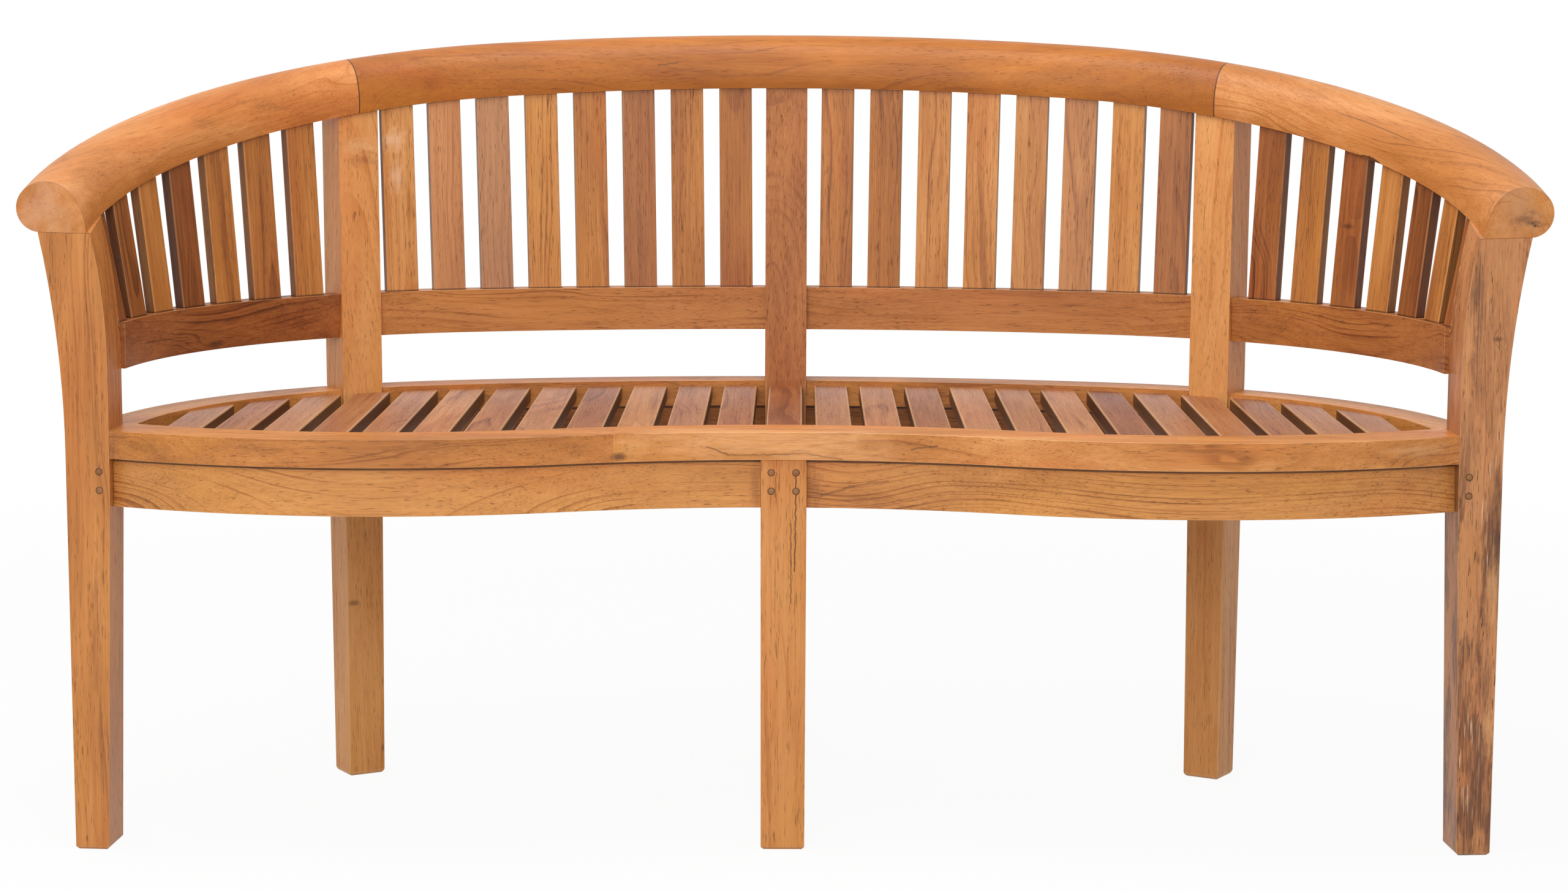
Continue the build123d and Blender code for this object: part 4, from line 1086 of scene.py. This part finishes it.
pegs = {
    "radius": 3.9,
    "length": 31.0,
    "proud": 0.5,
    "dome": 0.5,
    "fromEdge": 11.3,
    "belowSeat": (44.0, 64.0),
    "middleHalf": 24.5,
    "legInner": 724.0,
    "legTaper": 9.5,
    "legFront": 14.0,
    "legTurn": 4.7,
    "seed": 81,
}
turn = math.radians(pegs["legTurn"])
reach = pegs["fromEdge"] - pegs["legTaper"]
pegPlaces, pegAxes = [], []
for side in (-1, 1):
    for below in pegs["belowSeat"]:
        height = lines["seatHeight"] - below
        pegPlaces.append(inMetres(pegs["middleHalf"] - pegs["fromEdge"], 0, height, side))
        pegAxes += [0.0, 1.0, 0.0]
        pegPlaces.append(inMetres(pegs["legInner"] + reach * math.cos(turn),
                                  -pegs["legFront"] + reach * math.sin(turn), height, side))
        pegAxes += [-math.sin(turn) * side, math.cos(turn), 0.0]
pegMarks = meshObject("apronPegsRow", pegPlaces)
setVectors(pegMarks.data, "axis", pegAxes)
pegPiece = useTree(pegMarks, pegTree, {
    "Radius": pegs["radius"] * mm, "Length": pegs["length"] * mm, "Proud": pegs["proud"] * mm,
    "Dome": pegs["dome"] * mm, "Seed": pegs["seed"], "Material": pegWood})
paintBoards(pegPiece, [(0.5, 0.0, 0.0)])
smoothFaces(pegPiece)
finish(pegPiece, ["apron_pegs"])
print("pegs made")

# hidden joinery keeps its CAD shape
for name in ("seat_rim_key", "top_rail_dowels"):
    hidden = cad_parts[name]
    hidden.data.materials.clear()
    hidden.data.materials.append(pegWood)


# stage, light and camera

# lengths in metres; the shadow stays near the bench, and the floor fades into white further out
stage = {
    "floorHalf": 9,
    "floorGrey": (0.75, 0.75, 0.75, 1),
    "fade": (1.2, 3.0, 0.93, 1.0),
    "white": (1, 1, 1, 1),
    "skyLevel": 0.50,
}
lamps = {
    "softTop": dict(place=(-0.5, -0.6, 3.2), target=(0, 0, 0.4), size=(3.0, 1.8), power=78),
    "softFront": dict(place=(-0.7, -3.8, 1.9), target=(0, 0, 0.5), size=(2.4, 1.6), power=58),
}


def seenWhite(add):
    # rays from the camera, and those that a glossy or clear surface sends on, see plain white
    rays = add("ShaderNodeLightPath", out=("Is Camera Ray", "Is Glossy Ray", "Is Transmission Ray"))
    return strongest(add, rays)


def floorMaterial():
    material = bpy.data.materials.new("paleFloor")
    add = emptyTree(material)
    matt = add("ShaderNodeBsdfDiffuse", stage["floorGrey"])
    glow = add("ShaderNodeEmission", stage["white"], 1.0)
    away = add(vectorNode, add("ShaderNodeTexCoord", out="Object"), operation="LENGTH")
    share = add(mathNode, seenWhite(add), maskFrom(add, (away, *stage["fade"])), operation="MULTIPLY")
    add("ShaderNodeOutputMaterial", add("ShaderNodeMixShader", share, matt, glow))
    return material


half = stage["floorHalf"]
corners = [(-half, -half, 0), (half, -half, 0), (half, half, 0), (-half, half, 0)]
floor = meshObject("floorPlane", corners, (), [(0, 1, 2, 3)])
floor.data.materials.append(floorMaterial())

world = bpy.data.worlds.new("paleStudio")
bpy.context.scene.world = world
add = emptyTree(world)
level = add("ShaderNodeBackground", stage["white"], stage["skyLevel"])
white = add("ShaderNodeBackground", stage["white"], 1.0)
add("ShaderNodeOutputWorld", add("ShaderNodeMixShader", seenWhite(add), level, white))


def addLamp(name, place, target, size, power):
    data = bpy.data.lights.new(name, "AREA")
    data.shape = "RECTANGLE"
    data.size, data.size_y = size
    data.energy = power
    lamp = bpy.data.objects.new(name, data)
    lamp.location = place
    lamp.rotation_euler = (Vector(target) - Vector(place)).to_track_quat("-Z", "Y").to_euler()
    bpy.context.scene.collection.objects.link(lamp)


for name, lamp in lamps.items():
    addLamp(name, **lamp)

# place in millimetres, angles in radians, sensor in millimetres
view = {
    "place": (15.393, -3699.31, 950.12),
    "yaw": -0.0041,
    "pitch": 0.1371,
    "roll": 0.0036,
    "focalPixels": 5740.94,
    "widthPixels": 2560,
    "sensor": 36,
}
yaw, pitch, roll = view["yaw"], view["pitch"], view["roll"]
forward = Vector((math.sin(yaw) * math.cos(pitch), math.cos(yaw) * math.cos(pitch), -math.sin(pitch)))
right = Vector((math.cos(yaw), -math.sin(yaw), 0))
up = right.cross(forward)
rolledRight = right * math.cos(roll) + up * math.sin(roll)
rolledUp = up * math.cos(roll) - right * math.sin(roll)
cameraData = bpy.data.cameras.new("photoView")
cameraData.sensor_fit = "HORIZONTAL"
cameraData.sensor_width = view["sensor"]
cameraData.lens = view["focalPixels"] / view["widthPixels"] * view["sensor"]
camera = bpy.data.objects.new("photoView", cameraData)
turned = Matrix((rolledRight, rolledUp, -forward)).transposed().to_4x4()
camera.matrix_world = Matrix.Translation(inMetres(*view["place"])) @ turned
bpy.context.scene.collection.objects.link(camera)
bpy.context.scene.camera = camera
bpy.context.scene.view_settings.view_transform = "Standard"
print("stage, lamps and camera set")
